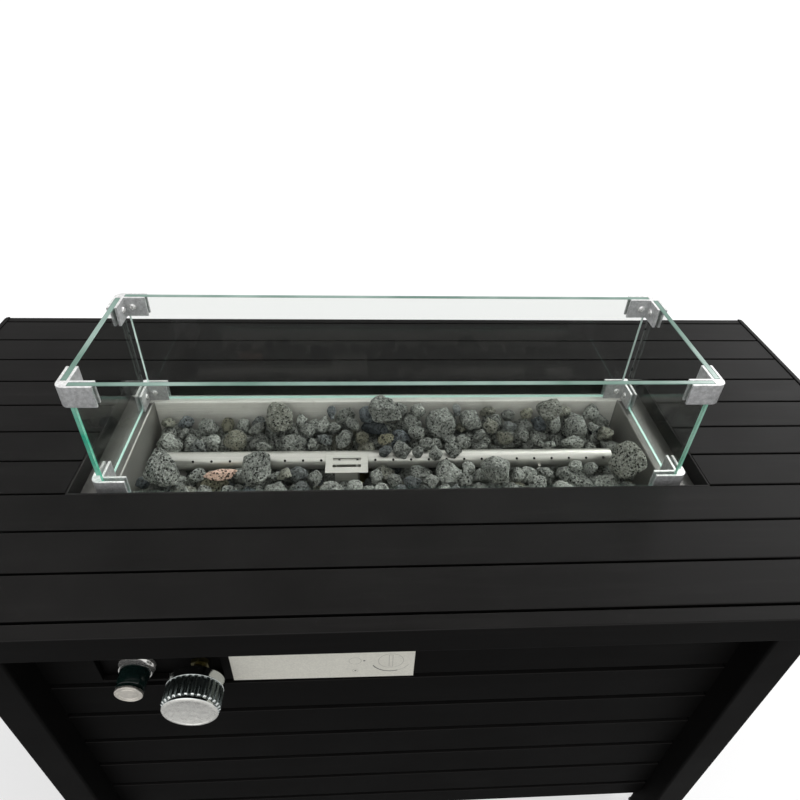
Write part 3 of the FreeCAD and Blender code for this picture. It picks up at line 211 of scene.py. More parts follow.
class Finish(Graph):
    """The node tree of a material."""

    def __init__(self, name):
        self.material = bpy.data.materials.new(name)
        self.material.use_nodes = True
        super().__init__(self.material.node_tree)
        self.place = self.node("ShaderNodeTexCoord", output="Object")

    def stretched(self, scale):
        return self.node("ShaderNodeMapping", {"Vector": self.place, "Scale": scale})

    def noise(self, scale, detail=3.0, roughness=0.55, place=None):
        """Noise from about 0 to 1. The scale is in waves per metre."""
        return self.node("ShaderNodeTexNoise", {
            "Vector": place or self.place, "Scale": scale, "Detail": detail,
            "Roughness": roughness})

    def cells(self, scale, place):
        """Distance to the nearest of scattered points. The scale is in points per metre."""
        return self.node("ShaderNodeTexVoronoi", {"Vector": place, "Scale": scale})

    def blend(self, factor, first, second):
        return self.node("ShaderNodeMix", {0: factor, 6: first, 7: second}, 2, data_type="RGBA")

    def mottled(self, field, tone, dark, pale, low=0.3, high=0.7):
        """The tone, darker where a field is low and paler where it is high."""
        return self.blend(self.level(field, low, high), scaled(tone, dark), scaled(tone, pale))

    def patches(self, base, field, low, high, share, other):
        """The colour with a share of another where a field is high."""
        return self.blend(self.level(field, low, high) * share, base, other)

    def attribute(self, name):
        return self.node("ShaderNodeAttribute", output="Fac", attribute_name=name)

    def shaded(self, base, shade):
        """The colour times a brightness."""
        grey = self.node("ShaderNodeCombineColor", {0: shade, 1: shade, 2: shade})
        return self.node("ShaderNodeMix", {0: 1.0, 6: base, 7: grey}, 2, data_type="RGBA",
                         blend_type="MULTIPLY")

    def facing_up(self):
        """How far the surface faces up: 1 on a top, 0 on a side, -1 underneath."""
        return self.node("ShaderNodeSeparateXYZ", {0: self.place.other("Normal")}, output=2)

    def axes(self):
        split = self.node("ShaderNodeSeparateXYZ", {0: self.place})
        return split, split.other("Y"), split.other("Z")

    def bump(self, height, distance, strength=1.0, normal=None):
        inputs = {"Height": height, "Distance": distance, "Strength": strength}
        if normal:
            inputs["Normal"] = normal
        return self.node("ShaderNodeBump", inputs)

    def principled(self, **inputs):
        named = {name.replace("_", " ").title().replace("Ior", "IOR"): value
                 for name, value in inputs.items()}
        return self.node("ShaderNodeBsdfPrincipled", named)

    def done(self, shader):
        self.node("ShaderNodeOutputMaterial", {"Surface": shader})
        return self.material

    def solid(self, base, roughness, grain, depth, strength=0.5, **inputs):
        """An opaque material, whose grain stands out by a depth in metres."""
        return self.done(self.principled(base_color=base, roughness=roughness,
                                         normal=self.bump(grain, depth, strength), **inputs))

    def lit_through(self, shader, tint):
        """A glass that shadow rays pass, with a tint."""
        clear = self.node("ShaderNodeBsdfTransparent", {"Color": tint})
        shadow = self.node("ShaderNodeLightPath", output="Is Shadow Ray")
        return self.done(self.node("ShaderNodeMixShader", {0: shadow, 1: shader, 2: clear}))


# Finishes

def scaled(tone, factor):
    """The tone made brighter or darker, and opaque."""
    return tuple(min(1.0, part * factor) for part in tone[:3]) + (1.0,)


def powder_coat(name, tone, roughness, side=0.34):
    """Fine textured paint with faint streaks along its bars, and dust. Upright faces are painted
    darker than tops as painted shade, and rounded edges paler as a painted highlight. Side is
    how pale an upright face is beside a top."""
    f = Finish(name)
    up = f.facing_up()
    fine = f.noise(1500.0, 2.0, 0.6)
    broad = f.noise(9.0, 3.0)
    streaks = f.noise(1.0, 4.0, 0.65, f.stretched((5.0, 70.0, 70.0)))
    dust = f.noise(120.0, 5.0, 0.75)
    base = f.mottled(broad, tone, 0.80, 1.15)
    base = f.patches(base, streaks, 0.52, 0.75, 0.5, scaled(tone, 1.6))
    base = f.patches(base, dust, 0.60, 0.80, 0.35, scaled(tone, 2.2))
    # Painted shade: upright faces are darker than tops by the side factor.
    base = f.shaded(base, f.level(up, 0.6, 0.95, side, 1.0))
    # Painted highlight: faces on the rounded edges, between top and side, are paler.
    edge = f.level(up, 0.12, 0.40) * f.level(up, 0.80, 0.95, 1.0, 0.0)
    base = f.blend(edge * 0.8, base, scaled(tone, 2.4))
    rough = f.level(broad, 0.3, 0.7, roughness - 0.05, roughness + 0.05)
    rough = rough + f.level(up, 0.0, 0.9, 0.14, 0.0)
    return f.solid(base, rough, fine, 0.00006, 0.45, specular_ior_level=PAINT_GLOSS)


def brushed(name, tone, along, roughness=0.3, metal=1.0, spots=0.0, bore=None):
    """Brushed metal: fine lines along one or two axes, and the stains of use. Inside a bore
    along X, given by its place across and up and its radius, the metal is painted near black as
    painted shade."""
    f = Finish(name)
    scale = [700.0] * 3
    for axis in along:
        scale[axis] = 11.0
    lines = f.noise(1.0, 3.0, 0.7, f.stretched(tuple(scale)))
    cloud = f.noise(12.0, 3.0)
    base = f.mottled(lines, tone, 0.88, 1.10)
    base = f.patches(base, cloud, 0.35, 0.75, 0.35, scaled(tone, 0.70))
    if spots:
        stain = f.noise(60.0, 5.0, 0.7)
        base = f.patches(base, stain, 0.55, 0.75, spots, (0.33, 0.30, 0.24, 1.0))
    if bore:
        _, across, up = f.axes()
        across, up = across - bore[0], up - bore[1]
        # Painted shade: inside the bore, which shows through the burner's holes, the metal is
        # near black.
        base = f.blend((across * across + up * up) ** 0.5 < bore[2], base,
                       (0.008, 0.008, 0.008, 1.0))
    rough = f.level(lines, 0.25, 0.75, roughness - 0.06, roughness + 0.10)
    return f.solid(base, rough, lines, 0.00002, metallic=metal)


def blasted(name, tone, roughness, metal):
    """Cast and blasted metal: a mottled, grainy surface without lines."""
    f = Finish(name)
    mottle = f.noise(230.0, 5.0, 0.7)
    grain = f.noise(1300.0, 3.0, 0.7)
    base = f.mottled(mottle, tone, 0.72, 1.16, 0.34, 0.66)
    base = f.patches(base, grain, 0.55, 0.8, 0.4, scaled(tone, 0.55))
    rough = f.level(mottle, 0.3, 0.7, roughness - 0.06, roughness + 0.08)
    return f.solid(base, rough, grain, 0.00005, metallic=metal)


def polished(name, tone, roughness=0.06, metal=1.0):
    """Plated or polished metal with faint smears."""
    f = Finish(name)
    smear = f.noise(40.0, 4.0, 0.6)
    base = f.mottled(smear, tone, 0.94, 1.0)
    rough = f.level(smear, 0.35, 0.75, roughness, roughness + 0.08)
    return f.solid(base, rough, smear, 0.00001, 0.3, metallic=metal)


def plated(name, tone, roughness=0.34):
    """Dull plated metal with a mottled surface."""
    f = Finish(name)
    mottle = f.noise(160.0, 4.0, 0.65)
    base = f.mottled(mottle, tone, 0.78, 1.1)
    rough = f.level(mottle, 0.3, 0.7, roughness - 0.07, roughness + 0.10)
    return f.solid(base, rough, mottle, 0.00002, 0.4, metallic=1.0)


def moulded(name, tone, roughness, grain_depth):
    """Moulded plastic, rubber or ceramic with a fine grain."""
    f = Finish(name)
    grain = f.noise(1400.0, 2.0)
    broad = f.noise(30.0, 3.0)
    base = f.mottled(broad, tone, 0.88, 1.12)
    rough = f.level(broad, 0.3, 0.7, roughness - 0.03, roughness + 0.05)
    return f.solid(base, rough, grain, grain_depth, specular_ior_level=0.5)


def lava_rock(name):
    """Grey porous rock. The pieces carry a tone and a tint for each rock."""
    f = Finish(name)
    tone = colours().rock
    wander = f.noise(90.0, 3.0, 0.6).other("Color")
    warped = f.node("ShaderNodeVectorMath", {0: wander, 1: (0.004, 0.004, 0.004), 2: f.place},
                    operation="MULTIPLY_ADD")
    pits = f.level(f.cells(250.0, warped), 0.24, 0.40)
    small_pits = f.level(f.cells(560.0, warped), 0.22, 0.40)
    clouds = f.noise(45.0, 5.0, 0.65)
    grit = f.noise(1000.0, 3.0, 0.7)
    sponge = (f.level(f.noise(60.0, 2.0), 0.46, 0.58) * 0.55).math(
        "MAXIMUM", f.attribute("porous"))
    speckle = f.noise(300.0, 3.0, 0.75)
    base = f.mottled(clouds, tone, 0.62, 1.65, 0.32, 0.68)
    base = f.patches(base, grit, 0.48, 0.70, 0.6, scaled(tone, 2.6))
    base = f.shaded(base, f.level(speckle, 0.36, 0.64, 0.55, 1.55))
    for tint, shade in (("warmth", (0.20, 0.185, 0.115, 1.0)),
                        ("cool", (0.075, 0.092, 0.115, 1.0)),
                        ("flake", (0.74, 0.52, 0.42, 1.0))):
        base = f.blend(f.attribute(tint), base, shade)
    # Painted shade: pits and pores are painted almost black.
    hollows = (1.0 - pits) * (0.60 + sponge * 0.38) + (1.0 - small_pits) * (0.32 + sponge * 0.35)
    base = f.blend(hollows.math("MINIMUM", 0.95), base, scaled(tone, 0.07))
    base = f.shaded(base, f.attribute("tone"))
    rough_shape = f.bump(clouds, 0.007, 0.8)
    pitted = f.bump(pits * (0.4 + sponge * 0.5) + small_pits * 0.4, 0.0020, 1.0, rough_shape)
    return f.done(f.principled(base_color=base, roughness=f.level(clouds, 0.3, 0.7, 0.74, 0.92),
                               specular_ior_level=0.3,
                               normal=f.bump(grit, 0.0007, 0.9, pitted)))


def pane(name, tone, roughness):
    """Clear glass that lets shadow rays pass."""
    f = Finish(name)
    haze = f.noise(30.0, 4.0)
    clear = f.principled(base_color=tone, roughness=f.level(haze, 0.3, 0.7, roughness,
                                                            roughness + 0.012),
                         ior=1.22, transmission_weight=1.0)
    return f.lit_through(clear, tone)


def glass_edge(name, left, right, glow):
    """Polished edge of a pane, where the glass looks green, and which glows by a given strength
    as painted light. Its depth of colour changes a little from the left end of the guard to the
    right, painted in for how light comes through the edge."""
    f = Finish(name)
    streak = f.noise(1.0, 3.0, 0.6, f.stretched((9.0, 9.0, 30.0)))
    tone = f.blend(f.level(f.axes()[0], -0.3, 0.3), left, right)
    base = f.patches(tone, streak, 0.35, 0.7, 0.35, (0.75, 0.90, 0.85, 1.0))
    body = f.principled(base_color=base, roughness=0.14, ior=1.5, specular_ior_level=0.4,
                        emission_color=base, emission_strength=glow)
    return f.lit_through(body, (0.6, 0.8, 0.72, 1.0))


def label_paper(name, tone, low, dial, button):
    """Label with a plain picture of a dial and a button, and nothing to read.
    The dial and the button are places on the label, in metres from its low corner."""
    f = Finish(name)
    x, _, z = f.axes()
    x, z = x - low.x, z - low.z

    def distance(place):
        across, up = x - place[0], z - place[1]
        return (across * across + up * up) ** 0.5

    def ring(place, radius, line):
        return (distance(place) - radius).math("ABSOLUTE") < line / 2

    def bar(place, width, height):
        return (((x - place[0]).math("ABSOLUTE") < width / 2)
                * ((z - place[1]).math("ABSOLUTE") < height / 2))

    dial_radius, arc_radius = 14.5 * MM, 22.5 * MM
    pointer = (bar(dial, 5.0 * MM, 25.0 * MM) - bar(dial, 3.4 * MM, 23.6 * MM))
    thin = ring(dial, dial_radius, 0.7 * MM).math("MAXIMUM", pointer)
    thin = thin.math("MAXIMUM", ring(button, 7.0 * MM, 0.6 * MM))
    beside = (button[0] + 10.5 * MM, button[1])
    below = (button[0], button[1] - 21.0 * MM)
    dark = (distance(beside) < 1.3 * MM).math("MAXIMUM", distance(below) < 1.2 * MM)
    thin = thin.math("MAXIMUM", ring(below, 3.2 * MM, 0.5 * MM))
    under_dial = (z < dial[1] - 9.0 * MM)
    thick = ring(dial, arc_radius, 1.5 * MM) * under_dial * (x < dial[0] + 8.0 * MM)
    thin = thin.math("MAXIMUM", ring(dial, arc_radius, 0.7 * MM) * under_dial)
    dark = dark.math("MAXIMUM", thick)
    paper = f.noise(500.0, 3.0)
    worn = f.noise(45.0, 4.0, 0.7)
    base = f.mottled(paper, tone, 0.90, 1.05)
    base = f.patches(base, worn, 0.45, 0.75, 0.3, scaled(tone, 0.78))
    base = f.blend(thin * 0.45, base, (0.16, 0.15, 0.12, 1.0))
    base = f.blend(dark * 0.85, base, (0.04, 0.04, 0.035, 1.0))
    return f.solid(base, f.level(paper, 0.3, 0.7, 0.40, 0.55), paper, 0.00002, 0.4)


def studio_white(name, tone, glow, mirror_glow):
    """Pale floor. What the camera, glass and mirrors see of it is lifted towards white."""
    f = Finish(name)
    rays = f.node("ShaderNodeLightPath", output="Is Camera Ray")
    seen = rays.math("MAXIMUM", rays.other("Is Transmission Ray")) * glow
    seen = seen.math("MAXIMUM", rays.other("Is Glossy Ray") * mirror_glow)
    soft = f.noise(3.0, 2.0)
    base = f.blend(soft, scaled(tone, 0.99), tone)
    body = f.principled(base_color=base, roughness=0.9, specular_ior_level=0.0)
    light = f.node("ShaderNodeEmission", {"Color": (1, 1, 1, 1), "Strength": seen})
    return f.done(f.node("ShaderNodeAddShader", {0: body, 1: light}))


def make_finishes():
    tones = colours()
    tube_low, tube_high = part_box("burner_tube")
    tube = (tube_low + tube_high) / 2
    tube_inside = (tube_high.z - tube_low.z) / 2 - 0.6 * MM
    FINISHES.update({
        "brown_black_paint": powder_coat("powder_coat_top", tones.paint, 0.42),
        "black_paint": powder_coat("powder_coat_base", scaled(tones.paint, 0.85), 0.46),
        # Painted light: the opening's walls and ledge take the table's paint 2.2 times paler,
        # with uprights less darkened.
        "lit_opening_paint": powder_coat("powder_coat_opening", scaled(tones.paint, 2.2), 0.42,
                                     0.70),
        # One steel in lit and shaded copies: the bowl 1.42 times paler as painted light, the end
        # walls and flange darker as painted shade.
        "stainless": brushed("stainless_bowl", scaled(tones.stainless, 1.42), (X,), 0.42, 0.12,
                             0.25),
        "shaded_stainless_sides": brushed("stainless_bowl_sides", scaled(tones.stainless, 0.55), (Y,),
                                   0.40, 0.55, 0.30),
        "stainless_flange": brushed("stainless_flange", scaled(tones.stainless, 0.27), (X, Y),
                                    0.36, 0.60, 0.10),
        "stainless_tube": brushed("stainless_tube", scaled(tones.stainless, 1.15), (X,), 0.34,
                                  0.75),
        # The drilled tube has painted shade inside its bore.
        "drilled_tube": brushed("stainless_drilled_tube", scaled(tones.stainless, 1.15), (X,),
                                0.34, 0.75, bore=(tube.y, tube.z, tube_inside)),
        "steel": plated("zinc_plated_steel", (0.60, 0.60, 0.58, 1.0)),
        "aluminium": blasted("blasted_aluminium", tones.aluminium, 0.42, 0.45),
        "aluminium_cut": blasted("cut_aluminium", (0.84, 0.84, 0.83, 1.0), 0.45, 0.15),
        "clear_glass": pane("clear_glass", tones.glass_face, 0.0),
        # Painted light: the edges glow, the bottom edges most, and the bottom and back edges are
        # painted pale.
        "edge_top": glass_edge("glass_top_edge", tones.edge_top, tones.edge_top, 0.04),
        "edge_side": glass_edge("glass_upright_edge", tones.edge_left, tones.edge_right, 0.12),
        "edge_back": glass_edge("glass_back_edge", (0.55, 0.68, 0.63, 1.0),
                                (0.55, 0.68, 0.63, 1.0), 0.10),
        "edge_foot": glass_edge("glass_bottom_edge", tones.edge_foot, tones.edge_foot, 0.55),
        "lava_rock": lava_rock("porous_lava_rock"),
        "bright_steel": polished("bright_steel", (0.86, 0.86, 0.85, 1.0), 0.18, 0.6),
        "chrome": polished("chrome", (0.70, 0.73, 0.72, 1.0), 0.10),
        "bezel_chrome": polished("bezel_chrome", (0.88, 0.87, 0.84, 1.0), 0.13, 0.75),
        # The ribs take a dark copy of the chrome, painted shade that dims their reflections.
        "rib_chrome": polished("rib_chrome", (0.115, 0.135, 0.13, 1.0), 0.24, 0.9),
        "satin": plated("satin_silver", (0.70, 0.695, 0.66, 1.0), 0.28),
        "cap_silver": plated("pale_silver", (0.66, 0.63, 0.57, 1.0), 0.36),
        "brass": plated("brass", (0.17, 0.15, 0.065, 1.0), 0.38),
        "black_plastic": moulded("gloss_black_plastic", (0.006, 0.016, 0.014, 1.0), 0.16,
                                 0.000002),
        "matte_black_plastic": moulded("matt_black_plastic", (0.018, 0.018, 0.018, 1.0), 0.55,
                                       0.00004),
        "white_ceramic": moulded("white_ceramic", (0.74, 0.72, 0.67, 1.0), 0.32, 0.00001),
        "copper": plated("copper", (0.66, 0.36, 0.22, 1.0), 0.30),
    })


# Meshes

def mesh_from(name, points, faces):
    """A mesh of points and the faces between them."""
    mesh = bpy.data.meshes.new(name)
    mesh.from_pydata([tuple(point) for point in points], [], faces)
    mesh.update()
    return mesh


def from_bmesh(name, bm):
    """A mesh from a working one, with all faces turned outwards."""
    bmesh.ops.recalc_face_normals(bm, faces=bm.faces)
    mesh = bpy.data.meshes.new(name)
    bm.to_mesh(mesh)
    bm.free()
    return mesh


def join_meshes(name, meshes):
    """One mesh from several, with their material numbers and attributes kept."""
    bm = bmesh.new()
    for mesh in meshes:
        bm.from_mesh(mesh)
        bpy.data.meshes.remove(mesh)
    mesh = bpy.data.meshes.new(name)
    bm.to_mesh(mesh)
    bm.free()
    return mesh


def outward(mesh):
    """The mesh with all its faces turned outwards."""
    name = mesh.name
    bm = bmesh.new()
    bm.from_mesh(mesh)
    bpy.data.meshes.remove(mesh)
    return from_bmesh(name, bm)


def number_faces(mesh, rule):
    """Gives each face the material number that a rule says."""
    for face in mesh.polygons:
        face.material_index = rule(face)


def smooth(mesh, angle=35.0):
    """Shades a mesh smooth, apart from edges that are sharper than an angle in degrees."""
    mesh.shade_smooth()
    mesh.set_sharp_from_angle(angle=math.radians(angle))
    return mesh


def in_scene(name, data):
    """A new object in the scene."""
    obj = bpy.data.objects.new(name, data)
    bpy.context.scene.collection.objects.link(obj)
    return obj


def add_piece(name, mesh, body, slot, nodes, finishes=()):
    """Puts a finished mesh in the scene, on its body and in the place of CAD nodes. It takes the
    finish that the slot argument names, unless others are given, in the order of its faces'
    material numbers."""
    finishes = finishes or (slot,)
    obj = in_scene(name, mesh)
    numbers = [face.material_index for face in mesh.polygons]
    mesh.materials.clear()
    for finish in finishes:
        mesh.materials.append(FINISHES[finish])
    mesh.polygons.foreach_set("material_index", [min(n, len(finishes) - 1) for n in numbers])
    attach(obj, body)
    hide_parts(*nodes)


def dress(finish, *nodes):
    """Gives CAD nodes, whose shape stays, a finish."""
    for node in nodes:
        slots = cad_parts[node].data.materials
        for index in range(len(slots)):
            slots[index] = FINISHES[finish]
        if not slots:
            slots.append(FINISHES[finish])


def evaluated(obj):
    """Plain mesh of an object with its modifiers applied. The object is removed."""
    graph = bpy.context.evaluated_depsgraph_get()
    mesh = bpy.data.meshes.new_from_object(obj.evaluated_get(graph), depsgraph=graph)
    bpy.data.objects.remove(obj)
    return mesh


def modified(mesh, kind, **settings):
    """Runs one modifier on a mesh."""
    obj = in_scene(mesh.name, mesh)
    modifier = obj.modifiers.new(kind, kind)
    for name, value in settings.items():
        setattr(modifier, name, value)
    return evaluated(obj)


def rounded(mesh, width, segments=2):
    """The mesh with its sharp edges rounded over a width."""
    return modified(mesh, "BEVEL", width=width, segments=segments, limit_method="ANGLE",
                    angle_limit=math.radians(30), use_clamp_overlap=True)


def grown(name, tree, base=None, **inputs):
    """Runs a geometry node tree and returns the plain mesh."""
    obj = in_scene(name, base or bpy.data.meshes.new(name))
    modifier = obj.modifiers.new(name, "NODES")
    modifier.node_group = tree
    for item in tree.interface.items_tree:
        if item.item_type == "SOCKET" and item.in_out == "INPUT" and item.name in inputs:
            modifier[item.identifier] = inputs[item.name]
    return evaluated(obj)


def block(low, high):
    """Box between two corners."""
    bm = bmesh.new()
    bmesh.ops.create_cube(bm, size=1.0)
    low, high = Vector(low), Vector(high)
    bmesh.ops.scale(bm, vec=high - low, verts=bm.verts)
    bmesh.ops.translate(bm, vec=(low + high) / 2, verts=bm.verts)
    return from_bmesh("block", bm)


def arc(centre, radius, start, steps):
    """Points along a quarter of a circle, from an angle in degrees on."""
    angles = [math.radians(start + 90.0 / steps * step) for step in range(steps + 1)]
    return [(centre[0] + radius * math.cos(angle), centre[1] + radius * math.sin(angle))
            for angle in angles]


def prism(outline, low, high):
    """Upright solid over an outline of x, y points."""
    count = len(outline)
    points = [(x, y, low) for x, y in outline] + [(x, y, high) for x, y in outline]
    faces = [list(range(count))[::-1], list(range(count, 2 * count))]
    faces += [[i, (i + 1) % count, count + (i + 1) % count, count + i] for i in range(count)]
    return outward(mesh_from("prism", points, faces))


def ring_wall(outer, inner, low, high, axis=Z):
    """Rectangular frame: outer and inner are (a0, a1, b0, b1) across the axis."""
    first, second = [a for a in (X, Y, Z) if a != axis]
    points, corners = [], ((0, 2), (1, 2), (1, 3), (0, 3))
    for level in (low, high):
        for rect in (outer, inner):
            for i, j in corners:
                point = [0.0, 0.0, 0.0]
                point[first], point[second], point[axis] = rect[i], rect[j], level
                points.append(point)
    faces = []
    for i in range(4):
        j = (i + 1) % 4
        faces += [[i, j, 4 + j, 4 + i], [8 + i, 8 + j, 12 + j, 12 + i],
                  [i, j, 8 + j, 8 + i], [4 + i, 4 + j, 12 + j, 12 + i]]
    return outward(mesh_from("frame", points, faces))


def lathe(profile, centre, segments, ripple=None):
    """Solid turned about an axis along Y. The profile is (y, radius) in metres, and is closed
    or starts and ends on the axis. A ripple changes the radius with the angle."""
    points, rings = [], []
    for along, radius in profile:
        ring = []
        for step in range(1 if radius == 0 else segments):
            angle = 2 * math.pi * step / segments
            reach = radius * (ripple(along, angle) if ripple else 1.0)
            ring.append(len(points))
            points.append((centre.x + reach * math.cos(angle), along,
                           centre.z + reach * math.sin(angle)))
        rings.append(ring)
    faces = []
    for low, high in zip(rings, rings[1:]):
        for step in range(segments):
            following = (step + 1) % segments
            face = [low[step % len(low)], low[following % len(low)],
                    high[following % len(high)], high[step % len(high)]]
            face = list(dict.fromkeys(face))
            if len(face) > 2:
                faces.append(face)
    return outward(mesh_from("turned", points, faces))


def node_spans(node, axis):
    """Stretches that the solids of a CAD node fill along an axis, sorted."""
    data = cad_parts[node].data
    places = np.array([v.co[axis] for v in data.vertices])
    faces = [(places[list(p.vertices)].min(), places[list(p.vertices)].max())
             for p in data.polygons]
    spans = []
    for low, high in sorted(faces):
        if spans and low <= spans[-1][1] + SAME:
            spans[-1][1] = max(spans[-1][1], high)
        else:
            spans.append([low, high])
    return [tuple(float(v) for v in span) for span in spans]


def node_islands(node):
    """Corner points of each separate solid of a CAD node."""
    bm = bmesh.new()
    bm.from_mesh(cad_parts[node].data)
    bmesh.ops.remove_doubles(bm, verts=bm.verts, dist=1e-6)
    seen, islands = set(), []
    for start in bm.verts:
        if start in seen:
            continue
        stack, points = [start], []
        seen.add(start)
        while stack:
            vert = stack.pop()
            points.append(vert.co.copy())
            for edge in vert.link_edges:
                other = edge.other_vert(vert)
                if other not in seen:
                    seen.add(other)
                    stack.append(other)
        low = Vector([min(p[i] for p in points) for i in range(3)])
        high = Vector([max(p[i] for p in points) for i in range(3)])
        islands.append((low, high))
    bm.free()
    return sorted(islands, key=lambda island: tuple(round(v, 5) for v in island[0]))


# Geometry node trees

def geometry_tree(name, inputs):
    """An empty tree with named inputs: its graph, and the first of its inputs."""
    tree = bpy.data.node_groups.new(name, "GeometryNodeTree")
    for title, kind in inputs.items():
        tree.interface.new_socket(title, in_out="INPUT", socket_type="NodeSocket" + kind)
    tree.interface.new_socket("Mesh", in_out="OUTPUT", socket_type="NodeSocketGeometry")
    graph = Graph(tree)
    return graph, graph.node("NodeGroupInput")


def instances(g, points, shape, turn, finish):
    """Ends a tree: one mesh of a shape at each of the points, turned, with a finish."""
    rotation = g.node("FunctionNodeEulerToRotation", {"Euler": turn})
    placed = g.node("GeometryNodeInstanceOnPoints", {
        "Points": points, "Instance": shape, "Rotation": rotation})
    solid = g.node("GeometryNodeRealizeInstances", {"Geometry": placed})
    done = g.node("GeometryNodeSetMaterial", {"Geometry": solid, "Material": finish})
    g.node("NodeGroupOutput", {0: done})
    return g.tree


def bar_row_tree():
    """Geometry node tree: equal box-section tubes with rounded corners, at equal steps."""
    g, given = geometry_tree("bar_row", {
        "Count": "Int", "First": "Vector", "Step": "Vector", "Length": "Float",
        "Width": "Float", "Height": "Float", "Wall": "Float", "Corner": "Float",
        "Turn": "Vector", "Finish": "Material"})
    wall = given.other("Wall")

    def outline(shrink, corner):
        quad = g.node("GeometryNodeCurvePrimitiveQuadrilateral", {
            "Width": given.other("Width") - shrink,
            "Height": given.other("Height") - shrink}, mode="RECTANGLE")
        return g.node("GeometryNodeFilletCurve", {"Curve": quad, "Count": 3, "Radius": corner},
                      mode="POLY")

    inner_corner = g.math("MAXIMUM", given.other("Corner") - wall, 0.0002)
    section = g.node("GeometryNodeJoinGeometry", {
        0: [outline(0.0, given.other("Corner")), outline(wall * 2.0, inner_corner)]})
    face = g.node("GeometryNodeFillCurve", {"Curve": section}, mode="TRIANGLES")
    direction = g.node("ShaderNodeCombineXYZ", {"Z": given.other("Length")})
    tube = g.node("GeometryNodeExtrudeMesh", {
        "Mesh": face, "Offset": direction, "Offset Scale": 1.0, "Individual": False},
        mode="FACES")
    back = g.node("GeometryNodeFlipFaces", {"Mesh": face})
    bar = g.node("GeometryNodeMergeByDistance", {
        "Geometry": g.node("GeometryNodeJoinGeometry", {0: [tube, back]}),
        "Distance": 0.00001})
    line = g.node("GeometryNodeMeshLine", {
        "Count": given, "Start Location": given.other("First"),
        "Offset": given.other("Step")}, mode="OFFSET")
    return instances(g, line, bar, given.other("Turn"), given.other("Finish"))


def tubes(name, along, first, size, wall, corner, finish, count=1, step=(0, 0, 0)):
    """Equal box-section tubes at equal steps. Their size is given along all three axes."""
    tree = bpy.data.node_groups.get("bar_row") or bar_row_tree()
    width, height = (size[axis] for axis in SECTION_AXES[along])
    return grown(name, tree, Count=count, First=first, Step=step, Length=size[along],
                 Width=width, Height=height, Wall=wall, Corner=corner,
                 Turn=TURN_ALONG[along], Finish=FINISHES[finish])


def first_place(low, high, along):
    """Size of a box, and the middle of its low end along an axis."""
    size = [b - a for a, b in zip(low, high)]
    first = [(a + b) / 2 for a, b in zip(low, high)]
    first[along] = low[along]
    return size, first


def bars_of(node, along, across, wall, corner, finish):
    """Bars in the place of a CAD node whose solids stand in a row across one axis."""
    low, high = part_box(node)
    runs = []
    for span in node_spans(node, across):
        width = round(span[1] - span[0], 5)
        middle = (span[0] + span[1]) / 2
        if runs and abs(runs[-1][0] - width) < 2 * SAME:
            runs[-1][1].append(middle)
        else:
            runs.append((width, [middle]))
    meshes = []
    for width, middles in runs:
        size, first = first_place(low, high, along)
        size[across], first[across] = width, middles[0]
        step = [0.0, 0.0, 0.0]
        step[across] = middles[1] - middles[0] if len(middles) > 1 else 0.0
        meshes.append(tubes(node, along, first, size, wall, corner, finish,
                            len(middles), step))
    return join_meshes(node, meshes)


def bar_between(low, high, along, wall, corner, finish):
    """One box-section tube between two corners."""
    size, first = first_place(low, high, along)
    return tubes("bar", along, first, size, wall, corner, finish)


# Building steps

class BuildOperator(bpy.types.Operator):
    """Shared behaviour of the building steps"""
    bl_options = {"REGISTER", "UNDO"}

    def execute(self, context):
        self.build()
        return {"FINISHED"}


class FIREPIT_OT_tabletop(BuildOperator):
    """Planks, rims and the walls of the burner opening"""
    bl_idname = "fire_pit.tabletop"
    bl_label = "Tabletop"

    paint = "brown_black_paint"

    def build(self):
        corner = sizes().bar_corner
        plank, rim = (0.9 * MM, corner), (1.6 * MM, corner * 1.4)
        for node, (wall, rounding) in (("front_planks", plank), ("back_planks", plank),
                                       ("left_planks", plank), ("right_planks", plank),
                                       ("front_rim", rim), ("back_rim", rim)):
            mesh = bars_of(node, X, Y, wall, rounding, self.paint)
            add_piece("deck_" + node, mesh, TABLE, self.paint, [node])
        rims = [self.side_rim(low, high) for low, high in node_islands("side_rims")]
        add_piece("deck_side_rims", join_meshes("side_rims", rims), TABLE, self.paint,
                  ["side_rims"])
        self.opening()

    def side_rim(self, low, high):
        """Rim across one end of the top, with round outer corners."""
        radius, quarter_steps = 5.5 * MM, 6
        side = 1 if high.x > 0 else -1
        inner, outer = (low.x, high.x) if side > 0 else (high.x, low.x)
        outline = [(inner, low.y)]
        for centre_y, start in ((low.y + radius, -90.0), (high.y - radius, 0.0)):
            outline += [(outer + side * x, y)
                        for x, y in arc((-radius, centre_y), radius, start, quarter_steps)]
        outline.append((inner, high.y))
        if side < 0:
            outline.reverse()
        return rounded(prism(outline, low.z, high.z), 0.7 * MM)

    def opening(self):
        """Walls of the burner opening and the ledge that carries the pan's flange."""
        low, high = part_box("opening_frame")
        wall, ledge_width, ledge_height = 2.0 * MM, 16.0 * MM, 2.5 * MM
        ledge_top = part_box("fire_pan")[1].z - PAN_SHEET
        foot = ledge_top - ledge_height
        outer = (low.x, high.x, low.y, high.y)
        inner = (low.x + wall, high.x - wall, low.y + wall, high.y - wall)
        hole = (inner[0] + ledge_width, inner[1] - ledge_width,
                inner[2] + ledge_width, inner[3] - ledge_width)
        walls = rounded(ring_wall(outer, inner, foot, high.z), 0.6 * MM)
        ledge = ring_wall(inner, hole, foot, ledge_top)
        # The walls and ledge take a paler copy of the table's paint, as painted light.
        add_piece("opening_walls", join_meshes("opening", [walls, ledge]), TABLE,
                  "black_paint", ["opening_frame"], ["lit_opening_paint"])


